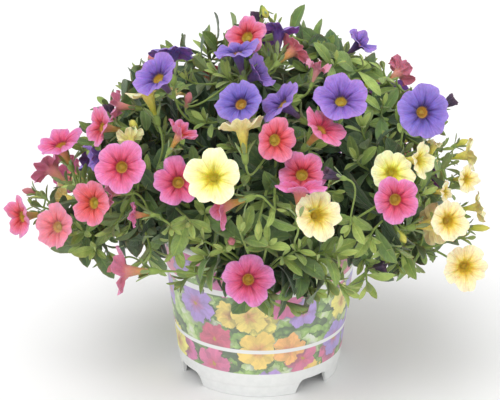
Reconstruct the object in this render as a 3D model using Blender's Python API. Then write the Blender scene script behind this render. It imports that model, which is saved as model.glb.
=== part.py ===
# A potted calibrachoa: three young plants, violet, pink and pale yellow, grown
# together in one nursery pot into a round mound that trails over the rim.
# Metres, Z up. The pot stands on z = 0, centred on the Z axis, and -Y is the front.

import math
import random
from typing import NamedTuple

import bmesh
import bpy
from mathutils import Vector, noise
from mathutils.bvhtree import BVHTree

MM = 0.001
SEED = 27
SHARP_ANGLE = math.radians(40.0)
UPWARD = Vector((0.0, 0.0, 1.0))
SIDEWAYS = Vector((1.0, 0.0, 0.0))

# Driving sizes in millimetres
POT_HEIGHT = 92.0
POT_BASE_RADIUS = 46.6
POT_TOP_RADIUS = 57.6
POT_LIP_RADIUS = 60.0
POT_LIP_DEPTH = 4.5
POT_WALL = 1.2
POT_SIDES = 44
FOOT_STEP = 6.8
FOOT_STEP_DEPTH = 0.5
FOOT_WALL = 1.6
FLOOR_TOP = 11.0
FLOOR_THICK = 1.3
PAD_RADIUS = 10.0
NOTCH_HEIGHT = 8.8
NOTCH_HALF_ANGLE = math.radians(13.5)
NOTCH_ANGLES = [math.radians(degrees) for degrees in (-49.0, 30.0, 131.0, 210.0)]
DRAIN_COUNT = 6
DRAIN_RADIUS = 4.0
DRAIN_CIRCLE = 27.0
HOLE_SIDES = 12
SEAT_GAP = 0.3

SOIL_TOP = 80.0
SOIL_SIDES = 32
SOIL_LUMP = 1.6
POCKET_RADIUS = 6.4
POCKET_DEPTH = 12.0
CROWN_CIRCLE = 17.0
CROWN_HEIGHT = 34.0
CROWN_FOOT_RADIUS = 4.8
CROWN_TOP_RADIUS = 3.2
CROWN_LEAN = 5.0
CROWN_SIDES = 8
CROWN_COLOURS = ("violet", "pink", "yellow")

MOUND_CENTRE = Vector((0.0, 0.0, 95.0))
MOUND_AXES = Vector((140.0, 112.0, 125.0))

STEM_FOOT_RADIUS = 1.5
STEM_TIP_RADIUS = 0.75
STEM_SIDES = 6
STEM_NODES = 5
STEM_FIRST_NODE = 0.34
STEM_ROOM = 3.0
SHOOT_TRIALS = 300
SHOOT_SPREAD = 14.0
NODE_HEIGHT = 1.3
LEAF_LENGTH = 24.0
LEAF_WIDTH = 8.5
LEAF_THICK = 0.6
LEAF_CLEAR = 1.2

# Each ring of shoots: how many, elevation and first azimuth in degrees, reach to the mound's skin
SHOOT_RINGS = ((3, 70.0, 20.0, 0.84), (4, 42.0, 5.0, 0.84), (4, 20.0, 50.0, 0.86), (6, -2.0, 25.0, 0.8))

BLOOM_SIDES = 10
BLOOM_DEPTH = 20.0
BLOOM_WIDTH = 30.0
PEDICEL_RADIUS = 0.6
PEDICEL_SIDES = 5
PEDICEL_ROOM = 0.7
# Calyx, tube and limb as (distance from the calyx base, radius) for a bloom of the usual width
CALYX = ((1.2, 1.8), (6.5, 2.0))
TUBE = ((8.5, 1.6), (14.0, 2.6), (17.8, 4.3))
LIMB_BACK = ((19.6, 9.5), (20.4, 15.0))
LIMB_FRONT = ((21.1, 14.8), (20.4, 9.4), (18.6, 3.8), (12.5, 1.5))
LOBE_COUNT = 5
LOBE_NOTCH = 0.14

# How the photograph looks at the object: a long lens, 21.3 degrees above level
VIEW_DOWN = math.radians(21.3)
VIEW_TARGET = Vector((-5.8, 0.0, 104.0))
VIEW_DISTANCE = 1200.0
VIEW_LENS = 2070.0
VIEW_MIDDLE = (250.0, 200.0)
VIEW_RIGHT = Vector((1.0, 0.0, 0.0))
VIEW_UP = Vector((0.0, math.sin(VIEW_DOWN), math.cos(VIEW_DOWN)))
VIEW_TOWARD = Vector((0.0, -math.cos(VIEW_DOWN), math.sin(VIEW_DOWN)))


class Bloom(NamedTuple):
    """One flower. It is placed by the picture pixel of its throat, or by azimuth and elevation."""

    name: str
    colour: str
    pixel: tuple = None
    facing: tuple = (0.0, 0.0, 1.0)
    reach: float = 1.0
    width: float = BLOOM_WIDTH
    around: tuple = None


# facing is (right, up, toward the viewer). reach 1 is on the mound's skin, less is deeper.
FRONT_BLOOMS = (
    Bloom("violet_top_left", "violet", (172, 51), (-0.05, 0.97, -0.2), 1.0, 27.0),
    Bloom("violet_upper_left", "violet", (157, 77), (-0.45, 0.55, 0.7), 1.1, 29.0),
    Bloom("violet_top_middle", "violet", (237, 51), (-0.22, 0.9, 0.36), 1.03, 27.0),
    Bloom("violet_summit", "violet", (279, 30), (0.08, 0.97, -0.2), 0.98, 24.0),
    Bloom("violet_upper_right", "violet", (341, 100), (0.0, 0.55, 0.83), 1.03, 31.0),
    Bloom("violet_right", "violet", (423, 112), (0.25, 0.05, 0.97), 1.05, 32.0),
    Bloom("violet_middle", "violet", (240, 103), (-0.3, 0.4, 0.85), 1.0, 27.0),
    Bloom("violet_middle_right", "violet", (281, 103), (-0.73, 0.55, 0.4), 1.0, 28.0),
    Bloom("pink_top", "pink", (246, 36), (-0.35, 0.35, 0.8), 1.0, 25.0),
    Bloom("pink_left_top", "pink", (60, 143), (-0.3, 0.75, 0.5), 1.0, 28.0),
    Bloom("pink_left_under", "pink", (50, 168), (-0.65, 0.6, -0.3), 0.9, 29.0),
    Bloom("pink_left_front", "pink", (121, 167), (-0.15, 0.05, 1.0), 1.05, 30.0),
    Bloom("pink_left_low", "pink", (92, 203), (-0.6, 0.0, 0.8), 1.02, 27.0),
    Bloom("pink_far_left_low", "pink", (56, 227), (-0.5, 0.0, 0.85), 1.0, 27.0),
    Bloom("pink_far_left", "pink", (20, 217), (-0.75, -0.1, 0.5), 1.0, 26.0),
    Bloom("pink_middle_left", "pink", (178, 182), (-0.05, 0.15, 1.0), 0.92, 28.0),
    Bloom("pink_middle", "pink", (276, 140), (0.4, 0.0, 0.9), 1.06, 25.0),
    Bloom("pink_middle_right", "pink", (323, 128), (0.55, 0.6, 0.55), 1.0, 28.0),
    Bloom("pink_heart", "pink", (302, 174), (0.0, 0.35, 0.9), 0.97, 27.0),
    Bloom("pink_right", "pink", (396, 200), (0.2, -0.1, 0.95), 1.12, 28.0),
    Bloom("pink_front", "pink", (248, 280), (-0.05, -0.1, 1.0), 0.82, 31.0),
    Bloom("pink_over_rim", "pink", (124, 271), (-0.95, 0.0, -0.1), 0.9, 29.0),
    Bloom("yellow_upper_left", "yellow", (147, 92), (-0.33, 0.94, 0.0), 0.96, 25.0),
    Bloom("yellow_middle", "yellow", (242, 128), (-0.1, 0.96, -0.05), 1.0, 26.0),
    Bloom("yellow_front", "yellow", (213, 178), (-0.15, 0.15, 0.97), 1.1, 32.0),
    Bloom("yellow_heart", "yellow", (317, 215), (0.4, 0.1, 0.85), 1.04, 30.0),
    Bloom("yellow_right", "yellow", (392, 173), (0.15, 0.1, 0.97), 0.95, 26.0),
    Bloom("yellow_far_right", "yellow", (449, 221), (0.4, 0.0, 0.9), 1.0, 25.0),
    Bloom("yellow_right_low", "yellow", (465, 267), (0.15, -0.1, 0.97), 1.0, 27.0),
)
# The hidden side, by azimuth and elevation in degrees from the mound's centre
BACK_BLOOMS = (
    Bloom("violet_back", "violet", around=(90.0, 40.0), reach=0.93),
    Bloom("violet_back_right", "violet", around=(50.0, 24.0), reach=0.95),
    Bloom("violet_back_left", "violet", around=(144.0, 24.0), reach=0.8, width=28.0),
    Bloom("pink_back", "pink", around=(84.0, 16.0), reach=1.0),
    Bloom("pink_back_left", "pink", around=(150.0, 2.0), reach=0.95, width=28.0),
    Bloom("pink_back_right", "pink", around=(64.0, 40.0), reach=0.82, width=27.0),
    Bloom("yellow_back", "yellow", around=(112.0, 4.0), reach=1.0, width=29.0),
    Bloom("yellow_back_right", "yellow", around=(35.0, 0.0), reach=0.9, width=27.0),
    Bloom("yellow_back_high", "yellow", around=(118.0, 36.0), reach=0.78, width=27.0),
)

COLOURS = {
    "pot": ((0.80, 0.81, 0.80), 0.4),
    "soil": ((0.045, 0.030, 0.020), 0.95),
    "crown": ((0.17, 0.15, 0.06), 0.8),
    "shoot": ((0.12, 0.22, 0.05), 0.55),
    "violet": ((0.24, 0.15, 0.58), 0.6),
    "pink": ((0.72, 0.13, 0.26), 0.6),
    "yellow": ((0.88, 0.80, 0.32), 0.6),
}


def clear_scene():
    for thing in list(bpy.data.objects):
        bpy.data.objects.remove(thing, do_unlink=True)


def material(name):
    """A Principled material for one kind of part."""
    colour, roughness = COLOURS[name]
    made = bpy.data.materials.new(name)
    made.use_nodes = True
    shader = made.node_tree.nodes["Principled BSDF"]
    shader.inputs["Base Color"].default_value = (*colour, 1.0)
    shader.inputs["Roughness"].default_value = roughness
    shader.inputs["Metallic"].default_value = 0.0
    return made


def finish_object(name, bm, kind):
    """The bmesh, built in millimetres, as an object in metres with its own material."""
    bmesh.ops.scale(bm, vec=(MM, MM, MM), verts=bm.verts)
    bmesh.ops.recalc_face_normals(bm, faces=bm.faces)
    mesh = bpy.data.meshes.new(name)
    bm.to_mesh(mesh)
    bm.free()
    mesh.materials.append(material(kind))
    mesh.shade_smooth()
    mesh.set_sharp_from_angle(angle=SHARP_ANGLE)
    made = bpy.data.objects.new(name, mesh)
    bpy.context.scene.collection.objects.link(made)
    return made


def from_view(right, up, toward):
    """A direction given as the viewer sees it, turned into the object's axes."""
    return (VIEW_RIGHT * right + VIEW_UP * up + VIEW_TOWARD * toward).normalized()


def on_mound(pixel, reach):
    """The point where the line of sight through a pixel meets the mound's scaled skin, or passes nearest."""
    across = (pixel[0] - VIEW_MIDDLE[0]) / VIEW_LENS
    upward = (VIEW_MIDDLE[1] - pixel[1]) / VIEW_LENS
    eye = VIEW_TARGET + VIEW_TOWARD * VIEW_DISTANCE
    sight = VIEW_RIGHT * across + VIEW_UP * upward - VIEW_TOWARD
    start = Vector([(eye - MOUND_CENTRE)[i] / MOUND_AXES[i] for i in range(3)])
    step = Vector([sight[i] / MOUND_AXES[i] for i in range(3)])
    middle = -start.dot(step) / step.dot(step)
    nearest = (start + step * middle).length
    back = math.sqrt(max(0.0, reach * reach - nearest * nearest)) / step.length
    return eye + sight * (middle - back)


def around_mound(azimuth, elevation, reach):
    """A point of the mound's scaled skin by azimuth and elevation in degrees."""
    turn = math.radians(azimuth)
    rise = math.radians(elevation)
    way = Vector((math.cos(turn) * math.cos(rise), math.sin(turn) * math.cos(rise), math.sin(rise)))
    return MOUND_CENTRE + Vector([way[i] * MOUND_AXES[i] * reach for i in range(3)])


def skin_normal(point):
    return Vector([(point - MOUND_CENTRE)[i] / MOUND_AXES[i] ** 2 for i in range(3)]).normalized()


def bloom_seat(bloom):
    """Where a bloom's throat is, and which way the bloom faces."""
    if bloom.around:
        place = around_mound(*bloom.around, bloom.reach)
        return place, skin_normal(place)
    return on_mound(bloom.pixel, bloom.reach), from_view(*bloom.facing)


def bezier(points, t):
    """A point and its direction on a cubic curve."""
    a, b, c, d = points
    s = 1.0 - t
    place = a * s**3 + b * (3 * s * s * t) + c * (3 * s * t * t) + d * t**3
    along = (b - a) * (s * s) + (c - b) * (2 * s * t) + (d - c) * (t * t)
    return place, along.normalized()


def frames_along(stations):
    """For (place, direction) stations, a side vector at each that doesn't twist about the path."""
    side = stations[0][1].orthogonal().normalized()
    sides = []
    for _, along in stations:
        side = (side - along * side.dot(along)).normalized()
        sides.append(side)
    return sides


def add_ring(bm, place, along, side, radii):
    """A closed ring of vertices about a path."""
    other = along.cross(side)
    ring = []
    for k, radius in enumerate(radii):
        turn = 2.0 * math.pi * k / len(radii)
        ring.append(bm.verts.new(place + (side * math.cos(turn) + other * math.sin(turn)) * radius))
    return ring


def bridge(bm, ring, after):
    """Side faces between two rings, as rows of quads."""
    count = len(ring)
    return [
        bm.faces.new((ring[k], ring[(k + 1) % count], after[(k + 1) % count], after[k])) for k in range(count)
    ]


def bridge_half(bm, ring, half):
    """Side faces between a ring and one with half as many vertices."""
    count = len(half)
    for k in range(count):
        near, far = half[k], half[(k + 1) % count]
        first, middle, last = ring[2 * k], ring[2 * k + 1], ring[(2 * k + 2) % len(ring)]
        bm.faces.new((first, middle, near))
        bm.faces.new((middle, far, near))
        bm.faces.new((middle, last, far))


def close_ring(bm, ring, place):
    """A fan from a ring to one point."""
    tip = bm.verts.new(place)
    for k, vert in enumerate(ring):
        bm.faces.new((vert, ring[(k + 1) % len(ring)], tip))


def tree_of(bm):
    return BVHTree.FromBMesh(bm)


def too_near(trees, points, gap):
    """True where any point is within the gap of any obstacle."""
    return any(tree.find_nearest(point, gap)[0] is not None for tree in trees for point in points)


def lathe(profile, sides):
    """A closed body of revolution about Z from (radius, height) points; radius 0 ends are poles."""
    bm = bmesh.new()
    rings = []
    for radius, height in profile:
        if radius > 0.0:
            rings.append(add_ring(bm, UPWARD * height, UPWARD, SIDEWAYS, [radius] * sides))
    for ring, after in zip(rings, rings[1:]):
        bridge(bm, ring, after)
    close_ring(bm, rings[0], UPWARD * profile[0][1])
    close_ring(bm, rings[-1], UPWARD * profile[-1][1])
    return bm


def wall_radius(height):
    """The pot's outer radius at a height."""
    slope = (POT_TOP_RADIUS - POT_BASE_RADIUS) / (POT_HEIGHT - POT_LIP_DEPTH)
    return POT_BASE_RADIUS + slope * height


def pot_profile():
    """The pot's section from the centre of its pad, out and up the outside, and back down the inside."""
    lip_foot = POT_HEIGHT - POT_LIP_DEPTH
    ceiling = FLOOR_TOP - FLOOR_THICK
    inner_foot = wall_radius(FLOOR_TOP) - POT_WALL
    foot_inner = POT_BASE_RADIUS - FOOT_WALL
    return [
        (0.0, 0.0),
        (PAD_RADIUS - 1.0, 0.0),
        (PAD_RADIUS, ceiling - 1.0),
        (PAD_RADIUS + 1.5, ceiling),
        (foot_inner - 1.0, ceiling),
        (foot_inner, ceiling - 1.2),
        (foot_inner, 0.0),
        (POT_BASE_RADIUS - 0.4, 0.0),
        (POT_BASE_RADIUS, 0.5),
        (wall_radius(FOOT_STEP), FOOT_STEP),
        (wall_radius(FOOT_STEP) + FOOT_STEP_DEPTH, FOOT_STEP + 0.5),
        (wall_radius(lip_foot), lip_foot),
        (POT_LIP_RADIUS - 0.6, lip_foot + 0.5),
        (POT_LIP_RADIUS, lip_foot + 1.2),
        (POT_LIP_RADIUS, POT_HEIGHT - 0.8),
        (POT_LIP_RADIUS - 0.8, POT_HEIGHT),
        (POT_TOP_RADIUS - 0.2, POT_HEIGHT),
        (POT_TOP_RADIUS - POT_WALL, POT_HEIGHT - 1.4),
        (wall_radius(lip_foot) - POT_WALL, lip_foot - 1.0),
        (inner_foot, FLOOR_TOP + 1.5),
        (inner_foot - 1.5, FLOOR_TOP),
        (0.0, FLOOR_TOP),
    ]


def add_cutter(name, bm, target):
    """A hidden helper body that a Boolean takes away from its target."""
    bmesh.ops.scale(bm, vec=(MM, MM, MM), verts=bm.verts)
    bmesh.ops.recalc_face_normals(bm, faces=bm.faces)
    mesh = bpy.data.meshes.new(name)
    bm.to_mesh(mesh)
    bm.free()
    cutter = bpy.data.objects.new(name, mesh)
    bpy.context.scene.collection.objects.link(cutter)
    cutter.hide_render = True
    cutter.display_type = "WIRE"
    cut = target.modifiers.new(name, "BOOLEAN")
    cut.operation = "DIFFERENCE"
    cut.object = cutter


def foot_notch_cutters():
    """Four wedges that open the foot ring, wider at the bottom than at the top."""
    bm = bmesh.new()
    for middle in NOTCH_ANGLES:
        corners = []
        for height, half in ((-1.0, NOTCH_HALF_ANGLE * 1.15), (NOTCH_HEIGHT, NOTCH_HALF_ANGLE * 0.8)):
            for radius in (POT_BASE_RADIUS - 5.0, POT_BASE_RADIUS + 8.0):
                for side in (-1.0, 1.0):
                    turn = middle + side * half
                    corners.append(bm.verts.new((radius * math.cos(turn), radius * math.sin(turn), height)))
        bmesh.ops.convex_hull(bm, input=corners)
    return bm


def upright_cylinder(bm, place, radius, low, high):
    """A closed cylinder about a vertical axis, between two heights."""
    rings = [
        add_ring(bm, Vector((place.x, place.y, z)), UPWARD, SIDEWAYS, [radius] * HOLE_SIDES)
        for z in (low, high)
    ]
    bridge(bm, *rings)
    bm.faces.new(rings[0])
    bm.faces.new(rings[1])


def drain_cutters():
    """Round holes through the floor."""
    bm = bmesh.new()
    for k in range(DRAIN_COUNT):
        turn = 2.0 * math.pi * k / DRAIN_COUNT
        place = Vector((DRAIN_CIRCLE * math.cos(turn), DRAIN_CIRCLE * math.sin(turn), 0.0))
        upright_cylinder(bm, place, DRAIN_RADIUS, FLOOR_TOP - FLOOR_THICK - 2.0, FLOOR_TOP + 2.0)
    return bm


def build_pot():
    pot = finish_object("pot", lathe(pot_profile(), POT_SIDES), "pot")
    add_cutter("cut_notches", foot_notch_cutters(), pot)
    add_cutter("cut_drains", drain_cutters(), pot)


def crown_foot(index):
    """Where a young plant stands in the soil."""
    turn = math.radians(90.0 + 360.0 * index / len(CROWN_COLOURS))
    return Vector((CROWN_CIRCLE * math.cos(turn), CROWN_CIRCLE * math.sin(turn), SOIL_TOP - POCKET_DEPTH))


def soil_body():
    """Rooted potting soil, a little lumpy on top, without the pockets."""
    inner = wall_radius(FLOOR_TOP) - POT_WALL - SEAT_GAP - 0.4
    top = wall_radius(SOIL_TOP) - POT_WALL - SEAT_GAP - 0.4
    profile = [
        (0.0, FLOOR_TOP + SEAT_GAP),
        (inner - 2.0, FLOOR_TOP + SEAT_GAP),
        (inner, FLOOR_TOP + 2.5),
        (top - 0.3, SOIL_TOP - 2.0),
        (top - 2.0, SOIL_TOP),
        (top * 0.8, SOIL_TOP),
        (top * 0.58, SOIL_TOP),
        (top * 0.36, SOIL_TOP),
        (top * 0.15, SOIL_TOP),
        (0.0, SOIL_TOP),
    ]
    bm = lathe(profile, SOIL_SIDES)
    for vert in bm.verts:
        if vert.co.z > SOIL_TOP - 0.5:
            vert.co.z += SOIL_LUMP * noise.noise(vert.co * 0.11)
    return bm


def build_soil():
    """The soil with a pocket for each young plant."""
    soil = finish_object("soil", soil_body(), "soil")
    cutters = bmesh.new()
    for k in range(len(CROWN_COLOURS)):
        foot = crown_foot(k)
        upright_cylinder(cutters, foot, POCKET_RADIUS, foot.z, SOIL_TOP + SOIL_LUMP * 3.0)
    add_cutter("cut_pockets", cutters, soil)


def crown_stations(index, shares=(0.0, 0.3, 0.55, 0.8, 1.0)):
    """The short woody stem of one young plant, leaning a little outward."""
    foot = crown_foot(index) + Vector((0, 0, SEAT_GAP))
    lean = Vector((foot.x, foot.y, 0.0)).normalized()
    top = foot + Vector((0, 0, CROWN_HEIGHT)) + lean * CROWN_LEAN
    curve = (foot, foot + Vector((0, 0, 14.0)), top - Vector((0, 0, 9.0)), top)
    return [bezier(curve, share) for share in shares]


def crown_radius(share):
    return CROWN_FOOT_RADIUS + (CROWN_TOP_RADIUS - CROWN_FOOT_RADIUS) * share


def build_crown(index, colour):
    """Returns the crown's obstacle tree."""
    bm = bmesh.new()
    stations = crown_stations(index)
    sides = frames_along(stations)
    rings = []
    for k, ((place, along), side) in enumerate(zip(stations, sides)):
        radius = crown_radius(k / (len(stations) - 1))
        rings.append(add_ring(bm, place, along, side, [radius] * CROWN_SIDES))
    for ring, after in zip(rings, rings[1:]):
        bridge(bm, ring, after)
    close_ring(bm, rings[0], stations[0][0])
    close_ring(bm, rings[-1], stations[-1][0] + stations[-1][1] * 2.0)
    bmesh.ops.recalc_face_normals(bm, faces=bm.faces)
    tree = tree_of(bm)
    finish_object(f"crown_{colour}", bm, "crown")
    return tree


def shoot_curve(azimuth, elevation, reach, rng, sway):
    """A shoot from its crown's side up, over the rim and out to its tip."""
    tip = around_mound(azimuth, elevation, reach)
    turn = math.radians(azimuth)
    out = Vector((math.cos(turn), math.sin(turn), 0.0))
    index = max(range(len(CROWN_COLOURS)), key=lambda k: crown_foot(k).dot(out))
    share = rng.uniform(0.6, 0.95)
    place, along = crown_stations(index, (share,))[0]
    leave = turn + math.radians(rng.uniform(-80.0, 80.0))
    side = Vector((math.cos(leave), math.sin(leave), 0.0))
    side = (side - along * side.dot(along)).normalized()
    way = (side * 0.8 + along * 0.6).normalized()
    start = place + side * (crown_radius(share) + SEAT_GAP + STEM_FOOT_RADIUS * 0.62)
    lift = 22.0 + 16.0 * math.sin(math.radians(max(0.0, elevation)))
    shift = Vector([rng.uniform(-sway, sway) for _ in range(3)])
    back = skin_normal(tip) * 24.0 - Vector((0, 0, 18.0 if elevation < 30.0 else 0.0))
    return (start, start + way * lift, tip - back + shift, tip)


def leaf_sections(root, way, wide, length, width, droop):
    """Section centres, half widths and normals of a leaf that bends down toward its tip."""
    sections = []
    for share, spread in ((0.3, 0.62), (0.66, 1.0), (1.0, 0.12)):
        place = root + way * (length * share) - Vector((0, 0, droop * share * share))
        normal = wide.cross(way).normalized()
        sections.append((place, wide * (width * 0.5 * spread), normal * (LEAF_THICK * 0.5)))
    return sections


def add_leaf(bm, face, sections):
    """Grows a closed leaf out of one side face of a stem."""
    lower = [vert for vert in face.verts]
    bm.faces.remove(face)
    for place, half, thick in sections:
        upper = [bm.verts.new(place + across + through) for across, through in corner_steps(half, thick)]
        upper = best_turn(lower, upper)
        for k in range(4):
            bm.faces.new((lower[k], lower[(k + 1) % 4], upper[(k + 1) % 4], upper[k]))
        lower = upper
    bm.faces.new(lower)


def stem_shares(curve):
    """Where along a shoot its rings are: the foot, one between, and a close pair at each leaf node."""
    length = sum((bezier(curve, k / 12)[0] - bezier(curve, (k + 1) / 12)[0]).length for k in range(12))
    shares = [0.0, STEM_FIRST_NODE * 0.5]
    for node in range(STEM_NODES):
        share = STEM_FIRST_NODE + (0.97 - STEM_FIRST_NODE) * node / (STEM_NODES - 1)
        shares += [share, share + NODE_HEIGHT / length]
    return shares


def stem_radius(share):
    return STEM_FOOT_RADIUS + (STEM_TIP_RADIUS - STEM_FOOT_RADIUS) * share


def on_stem(curve, share):
    """The middle of the stem as it is built, in straight lengths between its rings."""
    shares = stem_shares(curve)
    for low, high in zip(shares, shares[1:]):
        if share <= high:
            part = (share - low) / (high - low)
            start, end = bezier(curve, low)[0], bezier(curve, high)[0]
            return start.lerp(end, part), (end - start).normalized()
    return bezier(curve, share)


def stem_points(curve, spacing=2.5):
    """Points close together down the middle of the stem as it is built."""
    corners = [bezier(curve, share)[0] for share in stem_shares(curve)]
    points = [corners[0]]
    for start, end in zip(corners, corners[1:]):
        steps = max(1, math.ceil((end - start).length / spacing))
        points += [start.lerp(end, k / steps) for k in range(1, steps + 1)]
    return points


def add_stem(bm, curve):
    """A closed tapering stem. Returns its stations and the rows of side faces between its rings."""
    shares = stem_shares(curve)
    stations = [bezier(curve, share) for share in shares]
    rings = []
    for share, (place, along), side in zip(shares, stations, frames_along(stations)):
        rings.append(add_ring(bm, place, along, side, [stem_radius(share)] * STEM_SIDES))
    bands = [bridge(bm, ring, after) for ring, after in zip(rings, rings[1:])]
    close_ring(bm, rings[0], stations[0][0])
    close_ring(bm, rings[-1], stations[-1][0] + stations[-1][1] * 1.2)
    return stations, bands


def stem_tree(curve):
    """A bare stem, used to see where a shoot can pass."""
    bm = bmesh.new()
    add_stem(bm, curve)
    tree = tree_of(bm)
    bm.free()
    return tree


def corner_steps(half, thick):
    return ((-half, -thick), (half, -thick), (half, thick), (-half, thick))


def best_turn(lower, upper):
    """Starts or turns the second loop of four so that it matches the first."""
    orders = []
    for loop in (upper, upper[::-1]):
        orders += [loop[k:] + loop[:k] for k in range(4)]
    return min(orders, key=lambda order: sum((a.co - b.co).length for a, b in zip(lower, order)))


def blade_tree(root, sections):
    """A leaf's outline as flat faces, starting just off its stem, to see what it would meet."""
    bm = bmesh.new()
    first = root.lerp(sections[0][0], 0.5)
    lower = [bm.verts.new(first + sections[0][1] * 0.6), bm.verts.new(first - sections[0][1] * 0.6)]
    for centre, half, _ in sections:
        upper = [bm.verts.new(centre + half), bm.verts.new(centre - half)]
        bm.faces.new((lower[0], lower[1], upper[1], upper[0]))
        lower = upper
    tree = tree_of(bm)
    bm.free()
    return tree


def blade_points(root, sections):
    """Points over a leaf's middle and edges, close enough together to feel for neighbours."""
    points = []
    stations = [(root, sections[0][1] * 0.3)] + [section[:2] for section in sections]
    for (place, half), (after, wider) in zip(stations, stations[1:]):
        for share in (0.4, 0.7, 1.0):
            middle = place.lerp(after, share)
            reach = half.lerp(wider, share)
            points += [middle, middle + reach, middle - reach, middle + reach * 0.5, middle - reach * 0.5]
    return points


def build_shoot(name, curve, trees, rng):
    """One leafy shoot as a single body. Leaves are left out where a neighbour is in the way."""
    bm = bmesh.new()
    stations, bands = add_stem(bm, curve)
    bm.normal_update()
    grown = []
    for node in range(STEM_NODES):
        band = bands[2 + node * 2]
        place, along = stations[2 + node * 2]
        share = node / (STEM_NODES - 1)
        for turn in (node % 3, node % 3 + 3):
            face = band[turn]
            out = (face.calc_center_median() - place)
            out = (out - along * out.dot(along)).normalized()
            way = (out * (1.0 - 0.45 * share) + along * (0.35 + 0.75 * share)).normalized()
            wide = along.cross(out).normalized()
            size = (0.8 + 0.4 * math.sin(math.pi * min(1.0, share + 0.25))) * rng.uniform(0.88, 1.12)
            root = face.calc_center_median()
            droop = rng.uniform(1.0, 6.0)
            sections = leaf_sections(root, way, wide, LEAF_LENGTH * size, LEAF_WIDTH * size, droop)
            points = blade_points(root, sections)
            blade = blade_tree(root, sections)
            if too_near(trees, points, LEAF_CLEAR) or any(blade.overlap(tree) for tree in trees):
                continue
            if too_near(grown, points[6:], LEAF_CLEAR) or any(blade.overlap(tree) for tree in grown):
                continue
            add_leaf(bm, face, sections)
            grown.append(blade)
    bmesh.ops.recalc_face_normals(bm, faces=bm.faces)
    tree = tree_of(bm)
    finish_object(name, bm, "shoot")
    return tree


def lobed(radius, sides):
    """Radii round a limb with five lobes and shallow notches between them."""
    radii = []
    for k in range(sides):
        turn = 2.0 * math.pi * k / sides
        radii.append(radius * (1.0 - LOBE_NOTCH * (0.5 - 0.5 * math.cos(LOBE_COUNT * turn))))
    return radii


def corolla(bm, seat, facing, width):
    """Calyx, tube and limb with an open throat. Returns the ring at the calyx base."""
    base = seat - facing * BLOOM_DEPTH
    side = facing.orthogonal().normalized()
    scale = width / BLOOM_WIDTH
    rings = []
    for along, radius in CALYX + TUBE:
        rings.append(add_ring(bm, base + facing * along, facing, side, [radius] * BLOOM_SIDES))
    for along, radius in LIMB_BACK + LIMB_FRONT:
        radii = lobed(radius * scale, BLOOM_SIDES) if radius > 5.0 else [radius] * BLOOM_SIDES
        rings.append(add_ring(bm, base + facing * along, facing, side, radii))
    for ring, after in zip(rings, rings[1:]):
        bridge(bm, ring, after)
    close_ring(bm, rings[-1], base + facing * (LIMB_FRONT[-1][0] - 0.8))
    return rings[0]


def corolla_tree(seat, facing, width):
    bm = bmesh.new()
    ring = corolla(bm, seat, facing, width)
    bm.faces.new(ring[::-1])
    tree = tree_of(bm)
    bm.free()
    return tree


def pedicel_curve(start, out, seat, facing):
    base = seat - facing * BLOOM_DEPTH
    pull = (base - start).length * 0.45
    return (start, start + out * pull, base - facing * pull, base)


def pedicel_choices(seat, facing, curves):
    """Places on the shoots where a flower stalk could start, the most natural first."""
    base = seat - facing * BLOOM_DEPTH
    choices = []
    for number, curve in enumerate(curves):
        for step in range(6, 20):
            share = step / 20.0
            place, along = on_stem(curve, share)
            out = base - place
            distance = out.length
            out = (out - along * out.dot(along)).normalized()
            turn_back = max(0.0, 0.3 - (base - place).normalized().dot(facing))
            start = place + out * (stem_radius(share) + SEAT_GAP)
            cost = distance * (1.0 + turn_back) + (200.0 if distance < 7.0 else 0.0)
            choices.append((cost, number, step, start, out))
    choices.sort(key=lambda choice: choice[:3])
    return choices


def find_stalk(seat, facing, curves, stems, others):
    """A curve from a shoot to the flower that passes clear of everything else."""
    for _, number, _, start, out in pedicel_choices(seat, facing, curves):
        curve = pedicel_curve(start, out, seat, facing)
        points = [bezier(curve, k / 14)[0] for k in range(15)]
        apart = [tree for k, tree in enumerate(stems) if k != number] + others
        if too_near(apart, points, PEDICEL_RADIUS + PEDICEL_ROOM):
            continue
        if not too_near([stems[number]], points[3:], PEDICEL_RADIUS + PEDICEL_ROOM * 0.7):
            break
    return curve


def build_bloom(bloom, curves, stems, others):
    """One flower with its stalk as a single body. Returns its obstacle tree."""
    seat, facing = bloom_seat(bloom)
    curve = find_stalk(seat, facing, curves, stems, others)
    bm = bmesh.new()
    first = corolla(bm, seat, facing, bloom.width)
    stations = [bezier(curve, share) for share in (1.0, 0.72, 0.4, 0.12, 0.0)]
    ring = None
    for (place, along), side in zip(stations, frames_along(stations)):
        after = add_ring(bm, place, along, side, [PEDICEL_RADIUS] * PEDICEL_SIDES)
        if ring:
            bridge(bm, after, ring)
        else:
            bridge_half(bm, first, after)
        ring = after
    close_ring(bm, ring, stations[-1][0])
    bmesh.ops.recalc_face_normals(bm, faces=bm.faces)
    tree = tree_of(bm)
    finish_object(f"bloom_{bloom.name}", bm, bloom.colour)
    return tree


def clear_way(curve, corollas, stems, crowns, pots):
    """True where a shoot keeps off the flowers, the pot, the soil and the other shoots."""
    points = stem_points(curve)
    if too_near(corollas + pots, points, STEM_ROOM):
        return False
    if too_near(stems, points, STEM_FOOT_RADIUS + PEDICEL_ROOM * 1.7):
        return False
    return not too_near(crowns, points[3:], STEM_FOOT_RADIUS + 0.5)


def find_shoot(azimuth, elevation, reach, rng, obstacles):
    """A curve for one shoot. The search spreads a little wider with each trial."""
    for trial in range(SHOOT_TRIALS):
        spread = SHOOT_SPREAD * trial / SHOOT_TRIALS
        turned = azimuth + rng.uniform(-spread, spread)
        raised = elevation + rng.uniform(-spread, spread)
        curve = shoot_curve(turned, raised, reach, rng, 4.0 + 2.0 * spread)
        if clear_way(curve, *obstacles):
            break
    return curve


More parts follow.
